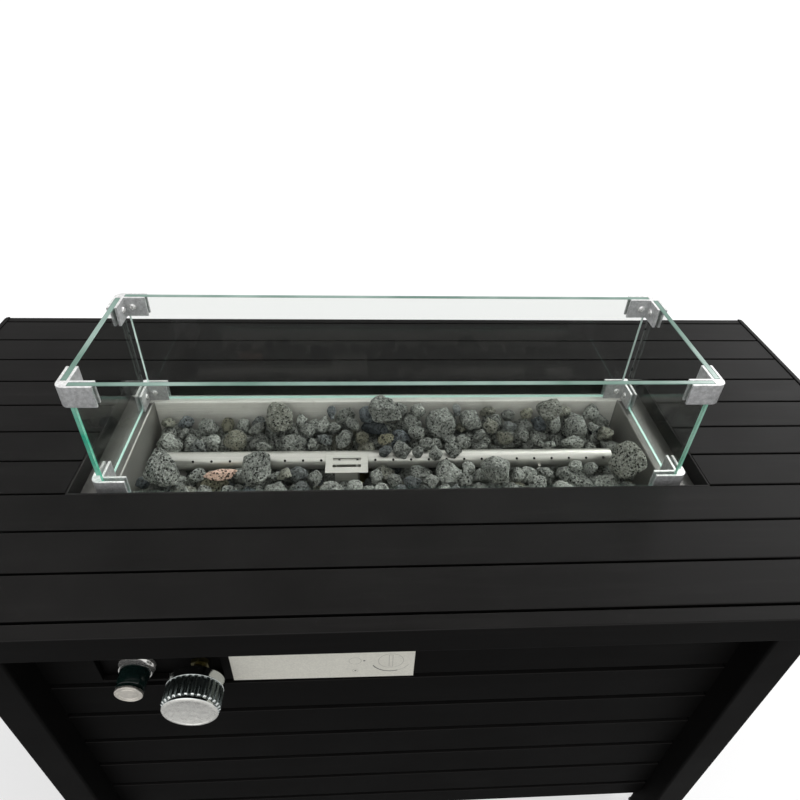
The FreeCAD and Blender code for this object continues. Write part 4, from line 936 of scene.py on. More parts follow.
class FIREPIT_OT_fire_pan(BuildOperator):
    """Folded stainless pan with its flange"""
    bl_idname = "fire_pit.fire_pan"
    bl_label = "Fire Pan"

    def ring(self, half_x, half_y, centre_y, z, corner):
        """Points round a rectangle with round corners."""
        points = []
        for sx, sy, start in ((1, 1, 0), (-1, 1, 90), (-1, -1, 180), (1, -1, 270)):
            centre = (sx * (half_x - corner), centre_y + sy * (half_y - corner))
            points += [(x, y, z) for x, y in arc(centre, corner, start, 4)]
        return points

    def build(self):
        low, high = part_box("fire_pan")
        lip, fold, corner = sizes().pan_lip, sizes().pan_fold, 2.5 * MM
        half_y, bowl_y = (BOWL_BACK - BOWL_FRONT) / 2, (BOWL_BACK + BOWL_FRONT) / 2
        floor = low.z + PAN_SHEET
        quarter = [math.radians(18.0 * step) for step in range(6)]
        rings = [self.ring((high.x - low.x) / 2, (high.y - low.y) / 2, (low.y + high.y) / 2,
                           high.z, corner)]
        for angle in quarter:
            out = lip * (1 - math.sin(angle))
            rings.append(self.ring(BOWL_X + out, half_y + out, bowl_y,
                                   high.z - lip * (1 - math.cos(angle)), corner + out))
        for angle in quarter:
            inwards = fold * (1 - math.cos(angle))
            rings.append(self.ring(BOWL_X - inwards, half_y - inwards, bowl_y,
                                   floor + fold * (1 - math.sin(angle)), corner))
        count = len(rings[0])
        points = [point for ring in rings for point in ring]
        faces = []
        for start in range(0, len(points) - count, count):
            for i in range(count):
                j = (i + 1) % count
                faces.append([start + count + i, start + count + j, start + j, start + i])
        faces.append(list(range(len(points) - count, len(points))))
        mesh = modified(mesh_from("pan", points, faces), "SOLIDIFY", thickness=PAN_SHEET,
                        offset=1.0)
        self.part_finishes(mesh, high.z - PAN_SHEET - 0.2 * MM)
        add_piece("pan", smooth(mesh, 40), TABLE, "stainless", ["fire_pan"],
                  ["stainless", "shaded_stainless_sides", "stainless_flange"])

    def part_finishes(self, mesh, flange_low):
        """Material numbers of the bowl, its two end walls and the flange, which take a paler
        copy of the steel as painted light and two darker copies as painted shade. The strip of
        flange behind the bowl is as bright as the bowl, with its painted light."""
        bowl, ends, flange = range(3)

        def number(face):
            level = face.center.z > flange_low and abs(face.normal.z) > 0.9
            if level and face.center.y <= BOWL_BACK:
                return flange
            return ends if abs(face.normal.x) > 0.25 else bowl

        number_faces(mesh, number)


class FIREPIT_OT_burner(BuildOperator):
    """Burner tube, pilot parts and gas pipe"""
    bl_idname = "fire_pit.burner"
    bl_label = "Burner"

    def build(self):
        dress("drilled_tube", "burner_tube")
        dress("stainless_tube", "burner_end_caps", "burner_saddles", "pilot_cover")
        dress("steel", "riser_lock_nuts", "thermocouple")
        dress("brass", "gas_riser")
        dress("white_ceramic", "spark_electrode")


class FIREPIT_OT_lava_rocks(BuildOperator):
    """Lava rock piled in the pan, round the burner"""
    bl_idname = "fire_pit.lava_rocks"
    bl_label = "Lava Rocks"

    # Different shapes, how wide an unscaled one is, and how finely it is placed. Cells of the
    # pile, the space left along the walls, and the height of cells that stay free of stones.
    # The most faces of one piece.
    shapes, shape_width, placing_detail = 48, 1.62, 3
    grid, wall_gap, blocked = 2.0 * MM, 1.5 * MM, 1.0
    most_faces = 180000

    def shape(self, index, detail):
        """Points and faces of one angular, pitted stone at its unscaled width, and whether it
        is a porous one."""
        key = (index, detail)
        if key in self.made:
            return self.made[key]
        chance = random.Random(1000 * sizes().rock_seed + index)
        bm = bmesh.new()
        bmesh.ops.create_icosphere(bm, subdivisions=detail, radius=1.0)
        bm.verts.ensure_lookup_table()
        directions = np.array([v.co for v in bm.verts])
        faces = [[v.index for v in f.verts] for f in bm.faces]
        bm.free()
        radius = self.facets(chance, directions)
        shift = Vector([chance.uniform(-50, 50) for _ in range(3)])
        porous = index % 5 == 0
        pit_depth, pit_scale, pit_reach = (0.16, 4.6, 0.40) if porous else (0.07, 3.4, 0.40)
        for i, direction in enumerate(directions):
            place = Vector(direction) * radius[i] + shift
            lumps = noise.fractal(place * 1.5, 0.9, 2.1, 4)
            pits = noise.voronoi(place * pit_scale)[0][0]
            ridges = noise.ridged_multi_fractal(place * 2.2, 0.9, 2.2, 3, 1.0, 2.0)
            radius[i] *= (1.0 + 0.12 * lumps + 0.035 * (ridges - 1.0)
                          - pit_depth * max(0.0, pit_reach - pits) / pit_reach)
        self.made[key] = directions * radius[:, None], faces, porous
        return self.made[key]

    def facets(self, chance, directions):
        """Radius along each direction of a ball that is cut by 7 to 12 flat sides, whose
        edges are softly rounded."""
        sharpness = chance.uniform(18.0, 40.0)
        total = np.full(len(directions), math.exp(-sharpness))
        for _ in range(chance.randint(7, 12)):
            normal = np.array([chance.gauss(0, 1) for _ in range(3)])
            normal /= np.linalg.norm(normal)
            facing = directions @ normal
            limit = chance.uniform(0.56, 0.90) / np.maximum(facing, 0.05)
            total += np.where(facing > 0.05, np.exp(-sharpness * limit), 0.0)
        return -np.log(total) / sharpness

    def build(self):
        """The pile is a grid of heights. Each stone lies on what is already there."""
        chance = random.Random(sizes().rock_seed)
        self.made = {}
        self.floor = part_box("fire_pan")[0].z + PAN_SHEET
        self.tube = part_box("burner_tube")
        self.low_x, self.low_y = -BOWL_X + self.wall_gap, BOWL_FRONT + self.wall_gap
        high_x, high_y = BOWL_X - self.wall_gap, BOWL_BACK - self.wall_gap
        columns = int((high_x - self.low_x) / self.grid)
        rows = int((high_y - self.low_y) / self.grid)
        self.xs = self.low_x + (np.arange(columns) + 0.5) * self.grid
        self.ys = self.low_y + (np.arange(rows) + 0.5) * self.grid
        self.surface = np.full((columns, rows), self.floor)
        over_tube = self.near(*self.tube, 2 * MM, 1.5 * MM)
        self.surface[over_tube] = self.tube[1].z + 1.5 * MM
        self.surface[self.near(*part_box("pilot_cover"), 3 * MM, 3 * MM)] = self.blocked
        self.wanted = self.pile()
        self.owner = np.full((columns, rows), -1)
        self.placed = []
        self.bed(chance)
        count = sizes().rock_count
        features = list(FEATURE_ROCKS)
        for index in range(count):
            if features and index > count * 0.12:
                self.feature(chance, *features.pop(0))
            self.drop(chance, index / count)
        self.finish()

    def near(self, low, high, gap_x, gap_y):
        """Cells that lie within a gap of a box."""
        return np.ix_((self.xs > low.x - gap_x) & (self.xs < high.x + gap_x),
                      (self.ys > low.y - gap_y) & (self.ys < high.y + gap_y))

    def pile(self):
        """Height that the rocks are piled to at each place: most behind the burner, a little
        more in the middle and on the right, less at the ends, and over the tube only where
        stones cover it. Heights in millimetres."""
        level, over_tube, front_rise, end_drop = 52, 15, 6, 14
        back_rise, middle_rise, right_rise = 5, 21, 12
        x, y = np.meshgrid(self.xs, self.ys, indexing="ij")
        low, high = self.tube

        def rise(value, low, high):
            share = np.clip((value - low) / (high - low), 0, 1)
            return share * share * (3 - 2 * share)

        height = np.full(x.shape, self.floor + level * MM)
        middle = rise(x, -0.13, -0.06) * (1 - rise(x, 0.06, 0.17))
        right = rise(x, 0.08, 0.16)
        height += rise(y, 15 * MM, 78 * MM) * (
            back_rise * MM + middle_rise * MM * middle + right_rise * MM * right)
        height -= rise(np.abs(x), 0.31, 0.345) * end_drop * MM
        height += rise(-y, 10 * MM, 50 * MM) * front_rise * MM
        over = (y > low.y - 1.5 * MM) & (y < high.y + 1.5 * MM)
        covered = (x > -0.012) & (x < 0.086)
        height[over & ~covered] = self.floor
        height[over & covered] = high.z + over_tube * MM
        return height

    def stone(self, chance, index, size):
        """A turned stone: its shape's number, and the matrix that scales and turns it."""
        flat = chance.uniform(0.62, 0.90)
        wide = chance.uniform(0.70, 0.98)
        turn = (Matrix.Rotation(chance.uniform(0, 2 * math.pi), 3, "Z")
                @ Matrix.Rotation(chance.uniform(-0.5, 0.5), 3, "X")
                @ Matrix.Rotation(chance.uniform(-0.5, 0.5), 3, "Y"))
        spin = Matrix.Rotation(chance.uniform(0, 2 * math.pi), 3, "Z")
        stretch = Matrix.Diagonal((1.0, wide, flat)) * (size / self.shape_width)
        return index, np.array(turn @ stretch @ spin)

    def body(self, stone):
        """Points of a stone round its own origin, as few as are needed to place it."""
        return self.shape(stone[0], self.placing_detail)[0] @ stone[1].T

    def footprint(self, body):
        """How many cells a stone reaches, and its underside and top over each cell."""
        cells = np.floor(body[:, :2] / self.grid).astype(int)
        reach = int(np.abs(cells).max()) + 1
        under = np.full((2 * reach + 1, 2 * reach + 1), np.inf)
        above = np.full_like(under, -np.inf)
        for (i, j), z in zip(cells, body[:, 2]):
            for di, dj in np.ndindex(2, 2):
                a, b = min(i + reach + di, 2 * reach), min(j + reach + dj, 2 * reach)
                under[a, b] = min(under[a, b], z)
                above[a, b] = max(above[a, b], z)
        return reach, under, above

    def inside(self, i, j, reach):
        """The nearest cell where the whole stone is inside the bowl."""
        columns, rows = self.surface.shape
        return min(max(i, reach), columns - reach - 1), min(max(j, reach), rows - reach - 1)

    def rest_at(self, i, j, reach, under):
        """Height at which a stone comes to rest, sunk a little between its neighbours."""
        window = self.surface[i - reach:i + reach + 1, j - reach:j + reach + 1]
        filled = np.isfinite(under)
        return float((window[filled] - under[filled]).max()) - 1.5 * MM

    def settle(self, stone, i, j, rest, reach, above, looks):
        """Leaves a stone at rest, and raises the pile by it."""
        filled = np.isfinite(above)
        place = np.s_[i - reach:i + reach + 1, j - reach:j + reach + 1]
        window, owner = self.surface[place], self.owner[place]
        higher = filled & (rest + above > window)
        window[higher] = (rest + above)[higher]
        owner[higher] = len(self.placed)
        centre = np.array([self.low_x + (i + 0.5) * self.grid,
                           self.low_y + (j + 0.5) * self.grid, rest])
        self.placed.append((*stone, centre, looks))

    def looks(self, chance):
        """Tone, warmth, coolness and flake colour of a stone."""
        draw = chance.random()
        return (chance.uniform(0.72, 1.30),
                chance.uniform(0.3, 0.8) if draw < 0.10 else 0.0,
                chance.uniform(0.3, 0.8) if 0.10 < draw < 0.24 else 0.0, 0.0)

    def bed(self, chance):
        """Two staggered layers of stones that cover the pan's floor. Steps in millimetres."""
        layers, bed_rows, bed_columns = 2, 7, 26
        step_x, step_y, step_z = 27, 25, 15
        low, high = self.tube
        tube_y, tube_radius = (low.y + high.y) / 2, 12.5 * MM
        for layer, row, column in np.ndindex(layers, bed_rows, bed_columns):
            size = chance.uniform(26, 36) * MM
            stone = self.stone(chance, chance.randrange(self.shapes), size)
            x = self.low_x + (column + 0.5 * ((row + layer) % 2)) * step_x * MM
            y = self.low_y + (row + 0.5) * step_y * MM
            reach, under, above = self.footprint(self.body(stone))
            i = int((x + chance.uniform(-4, 4) * MM - self.low_x) / self.grid)
            j = int((y + chance.uniform(-4, 4) * MM - self.low_y) / self.grid)
            i, j = self.inside(i, j, reach)
            near_tube = abs(y - tube_y) < tube_radius + size / 2
            if self.surface[i, j] >= self.blocked or layer and near_tube:
                continue
            rest = self.floor + layer * step_z * MM - under.min()
            self.settle(stone, i, j, rest, reach, above, self.looks(chance))

    def drop(self, chance, share):
        """Lets a stone fall where the pile is still low. The first stones are the largest."""
        tries, too_high = 70, 6 * MM
        small, large = sizes().rock_small, sizes().rock_large
        size = small + (large - small) * chance.random() ** (0.8 + 2.4 * share)
        stone = self.stone(chance, chance.randrange(self.shapes), size)
        body = self.body(stone)
        reach, under, above = self.footprint(body)
        low = np.argwhere(self.wanted - self.surface > 0.45 * size)
        best = None
        for _ in range(tries if len(low) else 0):
            i, j = self.inside(*low[chance.randrange(len(low))], reach)
            rest = self.rest_at(i, j, reach, under)
            over = rest + body[:, 2].max() - self.wanted[i, j]
            if best is None or over < best[0]:
                best = (over, rest, i, j)
        if best and best[0] < too_high:
            self.settle(stone, *best[2:], best[1], reach, above, self.looks(chance))

    def feature(self, chance, x, y, size, index, looks):
        """A stone that lies at a stated place. The one with a flake's colour is thin."""
        stone = self.stone(chance, index, size)
        if looks[3]:
            thin = Matrix.Rotation(0.12, 3, "Z") @ Matrix.Diagonal((1.0, 0.40, 0.26))
            stone = (index, np.array(thin * (size / self.shape_width)))
        reach, under, above = self.footprint(self.body(stone))
        i, j = self.inside(int((x - self.low_x) / self.grid), int((y - self.low_y) / self.grid),
                           reach)
        self.settle(stone, i, j, self.rest_at(i, j, reach, under), reach, above, looks)

    def finish(self):
        """Makes the meshes. Stones that show get more faces than the buried ones."""
        hidden_below, large_from = 10, 31 * MM
        buried, common, large = 2, 4, 5
        seen = np.bincount(self.owner[self.owner >= 0], minlength=len(self.placed))
        groups, group, total = [], [], 0
        for number, (index, change, centre, looks) in enumerate(self.placed):
            width = np.linalg.norm(change[:, 0]) * self.shape_width
            detail = large if width > large_from else common
            points, faces, porous = self.shape(index, buried if seen[number] < hidden_below
                                               else detail)
            total += len(faces)
            if total > self.most_faces:
                groups.append(group)
                group, total = [], len(faces)
            group.append((points @ change.T + centre, faces, (*looks, float(porous))))
        groups.append(group)
        for part, stones in enumerate(groups):
            self.add_group(part, stones)

    def add_group(self, part, stones):
        """One mesh of many stones, whose points carry the looks of their stone."""
        names = ("tone", "warmth", "cool", "flake", "porous")
        points, faces, values = [], [], []
        for body, body_faces, looks in stones:
            start = len(points)
            points.extend(body.tolist())
            faces.extend([[start + i for i in face] for face in body_faces])
            values.extend([looks] * len(body))
        mesh = mesh_from("rocks", points, faces)
        for name, column in zip(names, zip(*values)):
            mesh.attributes.new(name, "FLOAT", "POINT").data.foreach_set("value", column)
        add_piece(f"lava_rocks_{part + 1}", smooth(mesh, 42), TABLE, "lava_rock", ["lava_rocks"])


class FIREPIT_OT_glass(BuildOperator):
    """Four panes of the wind guard"""
    bl_idname = "fire_pit.glass"
    bl_label = "Glass"

    def build(self):
        for node, across in (("front_glass", Y), ("back_glass", Y), ("side_glasses", X)):
            panes = [self.pane(low, high, across) for low, high in node_islands(node)]
            add_piece("pane_" + node, join_meshes(node, panes), GUARD, "clear_glass", [node],
                      ["clear_glass", "edge_top", "edge_side", "edge_foot", "edge_back"])

    def pane(self, low, high, across):
        """Pane with chamfered edges. Its foot stands clear of the flange, and the back ends
        of the side panes show no colour."""
        foot_gap = 0.4 * MM
        clear, top, upright, foot, back = range(5)

        def number(face):
            if abs(face.normal[across]) > 0.99:
                return clear
            if abs(face.normal.z) > 0.3:
                return top if face.normal.z > 0 else foot
            if across == X and face.normal.y > 0.3:
                return clear
            return back if across == Y and low.y > 0 else upright

        mesh = rounded(block((low.x, low.y, low.z + foot_gap), high), sizes().glass_chamfer, 1)
        number_faces(mesh, number)
        return mesh


def pan_screw_tree():
    """Geometry node tree: domed screws with a cross recess, one at each point of a mesh.
    The points carry the turn of their screw, whose head stands along its own Z."""
    g, given = geometry_tree("pan_screws", {
        "Places": "Geometry", "Head Width": "Float", "Head Height": "Float",
        "Shank Width": "Float", "Shank Length": "Float", "Recess Width": "Float",
        "Recess Length": "Float", "Finish": "Material"})
    width, height = given.other("Head Width"), given.other("Head Height")
    recess, cross = given.other("Recess Width"), given.other("Recess Length")

    def vector(x, y, z):
        return g.node("ShaderNodeCombineXYZ", {0: x, 1: y, 2: z})

    def moved(shape, place, scale=(1.0, 1.0, 1.0)):
        return g.node("GeometryNodeTransform", {
            "Geometry": shape, "Translation": place, "Scale": scale})

    def cut(x, y, z, middle):
        """A box round the screw's axis, with its middle at a height."""
        box = g.node("GeometryNodeMeshCube", {"Size": vector(x, y, z)})
        return moved(box, vector(0.0, 0.0, middle))

    ball = g.node("GeometryNodeMeshUVSphere", {
        "Segments": 28, "Rings": 16, "Radius": width / 2})
    dome = moved(ball, (0, 0, 0), vector(1.0, 1.0, height * 2.0 / width))
    cuts = [cut(width * 2.0, width * 2.0, height * 2.0, height * -1.0),
            cut(recess, cross, height, height), cut(cross, recess, height, height)]
    cutter = g.node("GeometryNodeJoinGeometry", {0: cuts})
    head = g.node("GeometryNodeMeshBoolean", {
        "Mesh 1": dome, "Mesh 2": cutter, "Self Intersection": True},
        operation="DIFFERENCE", solver="EXACT")
    length = given.other("Shank Length")
    rod = g.node("GeometryNodeMeshCylinder", {
        "Vertices": 16, "Radius": given.other("Shank Width") / 2, "Depth": length})
    screw = g.node("GeometryNodeJoinGeometry", {
        0: [head, moved(rod, vector(0.0, 0.0, length * -0.5))]})
    turn = g.node("GeometryNodeInputNamedAttribute", {"Name": "turn"},
                  data_type="FLOAT_VECTOR")
    return instances(g, given, screw, turn, given.other("Finish"))


class FIREPIT_OT_corner_clips(BuildOperator):
    """Slotted corner clips of the wind guard, and their screws"""
    bl_idname = "fire_pit.corner_clips"
    bl_label = "Corner Clips"

    def build(self):
        for node in ("top_corner_clips", "bottom_corner_clips"):
            clips = [self.clip(low, high) for low, high in node_islands(node)]
            add_piece("guard_" + node, join_meshes(node, clips), GUARD, "aluminium", [node],
                      ["aluminium", "aluminium_cut"])
        self.screws()

    def screws(self):
        """Screws in the place of the CAD ones, whose heads face away from the guard's middle."""
        head_width, head_height, shank = 9.5 * MM, 2.4 * MM, 4.0 * MM
        middle = [(a + b) / 2 for a, b in zip(*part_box("clip_screws"))]
        places, turns, length = [], [], 0.0
        for low, high in node_islands("clip_screws"):
            across = min((X, Y), key=lambda axis: abs((high - low)[axis] - head_width) < 1e-4)
            place = (low + high) / 2
            inwards = 1 if place[across] < middle[across] else -1
            end = (high if inwards > 0 else low)[across]
            place[across] = end - inwards * head_height
            length = (high - low)[across] - head_height
            places.append(place)
            turns.extend((0.0, inwards * math.pi / 2, 0.0) if across == X
                         else (-inwards * math.pi / 2, 0.0, 0.0))
        base = mesh_from("places", places, [])
        base.attributes.new("turn", "FLOAT_VECTOR", "POINT").data.foreach_set("vector", turns)
        mesh = grown("clip_screws", pan_screw_tree(), base, **{
            "Head Width": head_width, "Head Height": head_height, "Shank Width": shank,
            "Shank Length": length, "Recess Width": 1.5 * MM, "Recess Length": 6.0 * MM,
            "Finish": FINISHES["bright_steel"]})
        add_piece("guard_screws", smooth(mesh, 40), GUARD, "steel", ["clip_screws"],
                  ["bright_steel"])

    def clip(self, low, high):
        """Corner clip: two plates a pane apart along each side, and a solid round corner. Its
        outline is drawn in millimetres from the corner inwards."""
        side_x = 1 if high.x > 0 else -1
        side_y = 1 if low.y > 0 else -1
        corner = (high.x if side_x > 0 else low.x, high.y if side_y > 0 else low.y)
        plate, slot, solid, arm, radius = 3.2, 6.8, 13.0, 40.0, 10.0
        width = 2 * plate + slot
        path = [(arm, 0), (arm, plate), (solid, plate), (solid, plate + slot),
                (arm, plate + slot), (arm, width), (width, width), (width, arm),
                (plate + slot, arm), (plate + slot, solid), (plate, solid), (plate, arm),
                (0, arm), *arc((radius, radius), radius, 180, 6)]
        outline = [(corner[0] - side_x * a * MM, corner[1] - side_y * b * MM) for a, b in path]
        if side_x * side_y < 0:
            outline.reverse()
        mesh = rounded(prism(outline, low.z, high.z), sizes().clip_edge)
        blasted_face, cut_face = range(2)
        number_faces(mesh, lambda face: cut_face if abs(face.normal.z) > 0.9 else blasted_face)
        return mesh


class FIREPIT_OT_base(BuildOperator):
    """Legs, rails and slats of the base"""
    bl_idname = "fire_pit.base"
    bl_label = "Base"

    def build(self):
        corner = sizes().bar_corner
        legs = [bar_between(low, high, Z, 2.0 * MM, sizes().leg_corner, "black_paint")
                for low, high in node_islands("legs")]
        add_piece("base_legs", join_meshes("legs", legs), TABLE, "black_paint", ["legs"])
        for node, along, body in (("front_slats", X, TABLE), ("back_slats", X, TABLE),
                                  ("left_slats", Y, TABLE), ("door_slats", Y, DOOR)):
            mesh = bars_of(node, along, Z, 0.8 * MM, corner, "black_paint")
            add_piece("base_" + node, mesh, body, "black_paint", [node])
        self.control_slat()
        dress("black_paint", "upper_rails", "lower_rails", "cross_bearers", "short_bearers",
              "slat_battens", "door_battens", "bottom_shelf", "tank_ring")
        dress("matte_black_plastic", "leg_glides")
        dress("steel", "base_bolts", "door_hinge_leaves", "frame_hinge_leaves", "hinge_pins")
        dress("satin", "door_pull")
        dress("matte_black_plastic", "door_catch")

    def control_slat(self):
        """Wide slat with the pocket that the control plate stands in."""
        low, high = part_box("control_slat")
        plate_low, plate_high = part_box("control_plate")
        margin = 4.0 * MM
        outer = (low.x, high.x, low.z, high.z)
        inner = (plate_low.x + margin, plate_high.x - margin,
                 plate_low.z + margin, plate_high.z - margin)
        mesh = rounded(ring_wall(outer, inner, low.y, high.y, Y), 0.8 * MM)
        add_piece("base_control_slat", mesh, TABLE, "black_paint", ["control_slat"])
        dress("black_paint", "control_plate")


class FIREPIT_OT_controls(BuildOperator):
    """Knob, igniter, valve, hose, leads and label"""
    bl_idname = "fire_pit.controls"
    bl_label = "Controls"

    # Sides of the igniter's round pieces
    segments = 96

    def build(self):
        self.knob()
        self.bezel()
        self.button()
        self.cap()
        self.label()
        dress("brass", "valve_body", "gas_inlet", "panel_nuts")
        dress("steel", "valve_stem")
        dress("matte_black_plastic", "igniter_body", "gas_hose", "ignition_lead")
        dress("copper", "thermocouple_lead")

    def knob(self):
        """Ribbed knob: front face, polished bevel, groove, ribs with chamfered ends, a bead,
        and a smooth skirt."""
        low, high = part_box("control_knob")
        centre = (low + high) / 2
        radius = (high.x - low.x) / 2
        front, back = low.y, high.y
        ribs, flute = 28, 1.7 * MM
        bright, satin, ribbed = range(3)
        ribs_front, ribs_back = front + 5.0 * MM, back - 11.5 * MM

        def ripple(along, angle):
            if not ribs_front - 0.1 * MM < along < ribs_back + 0.1 * MM:
                return 1.0
            wave = max(-1.0, min(1.0, 2.2 * math.cos(ribs * angle) + 0.25))
            return 1.0 - flute / radius * (0.5 - 0.5 * wave)

        path = [(0.9, 0), (0.9, 25.2), (0.5, 26.0), (0.0, 26.4), (0.0, 28.2), (0.3, 29.0),
                (1.1, 30.0), (1.5, 30.3), (1.7, 29.6), (1.8, 28.9), (4.4, 28.7),
                (4.85, 29.3), (5.0, 29.7), (6.0, 31.1), (6.4, 31.5)]
        profile = [(front + along * MM, reach * MM) for along, reach in path]
        bead = [(0, 0), (0.2, 1.3), (0.7, 1.3), (0.9, 0.3), (1.2, 0), (1.6, 0.2), (2.2, 0.5)]
        profile += [(ribs_back + along * MM, radius - depth * MM) for along, depth in bead]
        rim = [(1.2, 0.2), (0.3, 0.6), (0, 1.4)]
        profile += [(back - along * MM, radius - depth * MM) for along, depth in rim]
        profile.append((back, 0))

        def number(face):
            place = face.center - centre
            in_flute = math.cos(ribs * math.atan2(place.z, place.x)) < -0.1
            if face.center.y < front + 0.95 * MM:
                return satin
            ribbed_from = front + (4.4 if in_flute else 6.3) * MM
            return ribbed if ribbed_from < face.center.y < ribs_back else bright

        mesh = lathe(profile, centre, 12 * ribs, ripple)
        number_faces(mesh, number)
        # The ribs' dark chrome is painted shade.
        add_piece("knob_shell", smooth(mesh, 40), "knob", "chrome", ["control_knob"],
                  ["chrome", "satin", "rib_chrome"])

    def turned(self, name, profile, body, slot, node, finishes=()):
        """A turned piece of the igniter, on the bezel's axis."""
        low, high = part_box("igniter_bezel")
        mesh = smooth(lathe(profile, (low + high) / 2, self.segments))
        add_piece(name, mesh, body, slot, [node], finishes)

    def bezel(self):
        """Flared bezel on its sleeve."""
        low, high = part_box("igniter_bezel")
        radius = (high.x - low.x) / 2
        bore, mouth, sleeve = 17.05 * MM, 18.25 * MM, 18.5 * MM
        front, plate = low.y, low.y + 10.5 * MM
        flare = [(front + 6.5 * MM * share, mouth + (radius - mouth) * share ** 2.0)
                 for share in (0.0, 0.2, 0.4, 0.6, 0.8, 0.95)]
        profile = [(front + 0.5 * MM, bore), (front + 0.1 * MM, bore + 0.3 * MM), *flare,
                   (front + 6.9 * MM, radius - 0.05 * MM), (front + 7.6 * MM, radius),
                   (plate - 0.4 * MM, radius), (plate, radius - 0.4 * MM), (plate, sleeve),
                   (high.y, sleeve), (high.y, bore), (front + 0.5 * MM, bore)]
        self.turned("igniter_ring", profile, TABLE, "chrome", "igniter_bezel", ["bezel_chrome"])

    def button(self):
        """Tapered button with two beads at its front, where the cap sits."""
        low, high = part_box("igniter_button")
        cap_low, cap_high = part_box("igniter_cap")
        bezel_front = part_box("igniter_bezel")[0].y
        wide, narrow = (high.x - low.x) / 2, (cap_high.x - cap_low.x) / 2
        profile = [(low.y, 0), (low.y, narrow - 0.5 * MM)]
        for bead in range(2):
            start = low.y + (0.3 + 1.7 * bead) * MM
            profile += [(start, narrow - 0.5 * MM), (start + 0.2 * MM, narrow),
                        (start + 1.2 * MM, narrow), (start + 1.4 * MM, narrow - 0.5 * MM)]
        profile += [(low.y + 4.4 * MM, narrow + 0.1 * MM),
                    (bezel_front - 0.5 * MM, wide - 0.05 * MM),
                    (bezel_front + 2.0 * MM, wide), (high.y - 0.6 * MM, wide),
                    (high.y, wide - 0.6 * MM), (high.y, 0)]
        self.turned("igniter_barrel", profile, "igniter", "black_plastic", "igniter_button")

    def cap(self):
        """Silver cap with a sunken middle and a raised rim. Its outline is in millimetres."""
        low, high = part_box("igniter_cap")
        path = [(0.6, 0), (0.6, 9.4), (1.0, 9.7), (1.0, 10.5), (0.6, 10.8), (0.35, 13.4),
                (0.0, 13.6), (0.0, 14.4), (0.3, 15.0), (1.1, 15.4)]
        profile = [(low.y + along * MM, reach * MM) for along, reach in path]
        profile += [(high.y, (high.x - low.x) / 2), (high.y, 0)]
        self.turned("igniter_face", profile, "igniter", "chrome", "igniter_cap", ["cap_silver"])

    def label(self):
        """Label that was stuck on a little crooked. Its dial and button are places on it."""
        low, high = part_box("label_plate")
        length, height, tilt = 210.0 * MM, 60.0 * MM, math.radians(0.5)
        dial, button = (182.9 * MM, 33.0 * MM), (141.6 * MM, 34.6 * MM)
        corner = Vector((low.x, low.y, low.z + length * math.sin(tilt)))
        FINISHES["label_sheet"] = label_paper("label_paper", colours().label, corner, dial,
                                              button)
        mesh = rounded(block((0, 0, 0), (length, high.y - low.y, height)), 0.2 * MM)
        mesh.transform(Matrix.Translation(corner) @ Matrix.Rotation(tilt, 4, "Y"))
        add_piece("label", mesh, TABLE, "label_sheet", ["label_plate"])


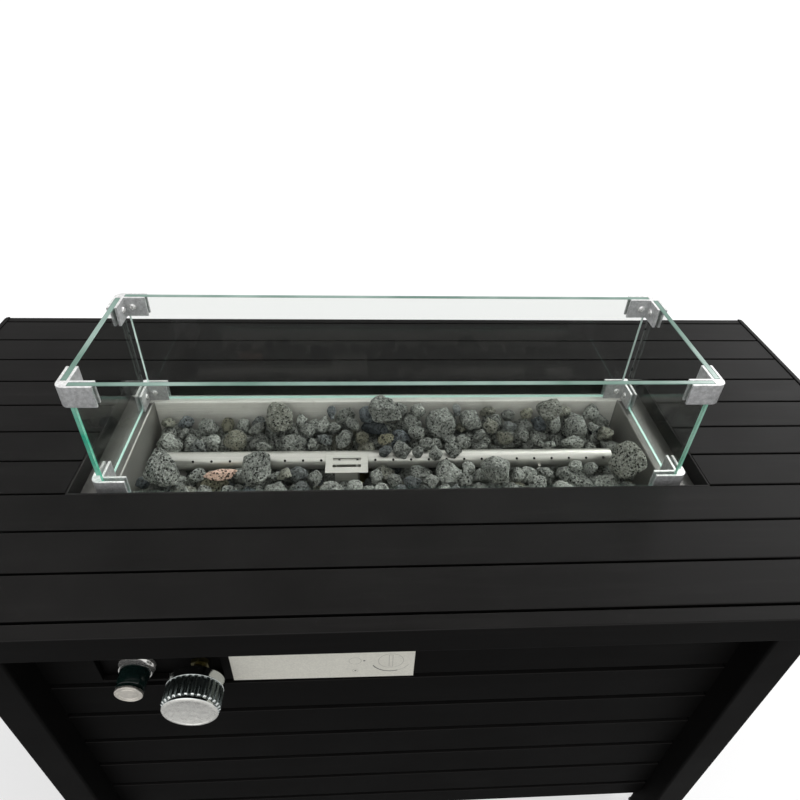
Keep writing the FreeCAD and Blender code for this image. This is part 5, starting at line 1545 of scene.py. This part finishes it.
class FIREPIT_OT_stage(BuildOperator):
    """Floor, soft studio light and camera"""
    bl_idname = "fire_pit.stage"
    bl_label = "Stage"

    # The camera that was fitted to the photograph: lens and sensor in millimetres, place in
    # metres, and how it is turned
    lens, sensor = 27.284, 36.0
    eye = (-0.0397, -0.6201, 1.1499)
    yaw, down, roll = (math.radians(angle) for angle in (-4.271, 37.607, 2.347))

    def build(self):
        scene = bpy.context.scene
        scene.view_settings.view_transform = "Standard"
        self.floor()
        self.world(scene)
        self.sun("key", (0.62, 0.47, 0.63), 2.1, 34.0)
        self.sun("fill", (-0.25, -0.80, 0.55), 0.45, 60.0)
        self.camera(scene)

    def floor(self):
        """Floor that runs past every view's horizon."""
        half = 60.0
        mesh = mesh_from("floor", [(-half, -half, 0), (half, -half, 0), (half, half, 0),
                                   (-half, half, 0)], [[0, 1, 2, 3]])
        mesh.materials.append(studio_white("studio_floor", (0.50, 0.50, 0.50, 1.0), 0.56, 0.30))
        in_scene("floor", mesh)

    def world(self, scene):
        """Even light. The camera, glass and mirrors see it as white."""
        world = bpy.data.worlds.new("studio")
        scene.world = world
        world.use_nodes = True
        g = Graph(world.node_tree)
        rays = g.node("ShaderNodeLightPath", output="Is Camera Ray")
        seen = rays.math("MAXIMUM", rays.other("Is Glossy Ray"))
        seen = seen.math("MAXIMUM", rays.other("Is Transmission Ray"))
        sky = g.node("ShaderNodeBackground", {
            "Color": (1.0, 1.0, 1.0, 1.0), "Strength": 0.55 + seen * 0.45})
        g.node("ShaderNodeOutputWorld", {"Surface": sky})

    def sun(self, name, towards, strength, angle):
        """Broad, even light that comes from one side."""
        data = bpy.data.lights.new(name, "SUN")
        data.energy = strength
        data.angle = math.radians(angle)
        sun = in_scene(name, data)
        sun.rotation_euler = Vector(towards).to_track_quat("Z", "Y").to_euler()

    def camera(self, scene):
        """Camera at the place where the view matches the photograph's."""
        data = bpy.data.cameras.new("camera")
        data.lens = self.lens
        data.sensor_width = self.sensor
        data.clip_start = 0.02
        data.clip_end = 200.0
        camera = in_scene("camera", data)
        camera.matrix_world = (Matrix.Translation(self.eye) @ Matrix.Rotation(self.yaw, 4, "Z")
                               @ Matrix.Rotation(math.pi / 2 - self.down, 4, "X")
                               @ Matrix.Rotation(self.roll, 4, "Z"))
        scene.camera = camera


STEPS = (FIREPIT_OT_stage, FIREPIT_OT_tabletop, FIREPIT_OT_fire_pan, FIREPIT_OT_burner,
         FIREPIT_OT_lava_rocks, FIREPIT_OT_glass, FIREPIT_OT_corner_clips, FIREPIT_OT_base,
         FIREPIT_OT_controls)


class FIREPIT_PT_panel(bpy.types.Panel):
    """The building steps and what they read"""
    bl_idname = "FIREPIT_PT_panel"
    bl_label = "Fire Pit Table"
    bl_space_type = "VIEW_3D"
    bl_region_type = "UI"
    bl_category = "Fire Pit"

    def draw(self, context):
        for group in (context.scene.fire_pit_sizes, context.scene.fire_pit_colours):
            box = self.layout.box()
            for name in group.bl_rna.properties.keys():
                if name not in ("rna_type", "name"):
                    box.prop(group, name)
        for step in STEPS:
            self.layout.operator(step.bl_idname)


CLASSES = (FirePitSizes, FirePitColours, *STEPS, FIREPIT_PT_panel)


def register():
    for item in CLASSES:
        bpy.utils.register_class(item)
    bpy.types.Scene.fire_pit_sizes = PointerProperty(type=FirePitSizes)
    bpy.types.Scene.fire_pit_colours = PointerProperty(type=FirePitColours)


def unregister():
    del bpy.types.Scene.fire_pit_colours
    del bpy.types.Scene.fire_pit_sizes
    for item in reversed(CLASSES):
        bpy.utils.unregister_class(item)


def main():
    register()
    make_finishes()
    for step in STEPS:
        group, name = step.bl_idname.split(".")
        getattr(getattr(bpy.ops, group), name)()


if __name__ == "__main__":
    main()
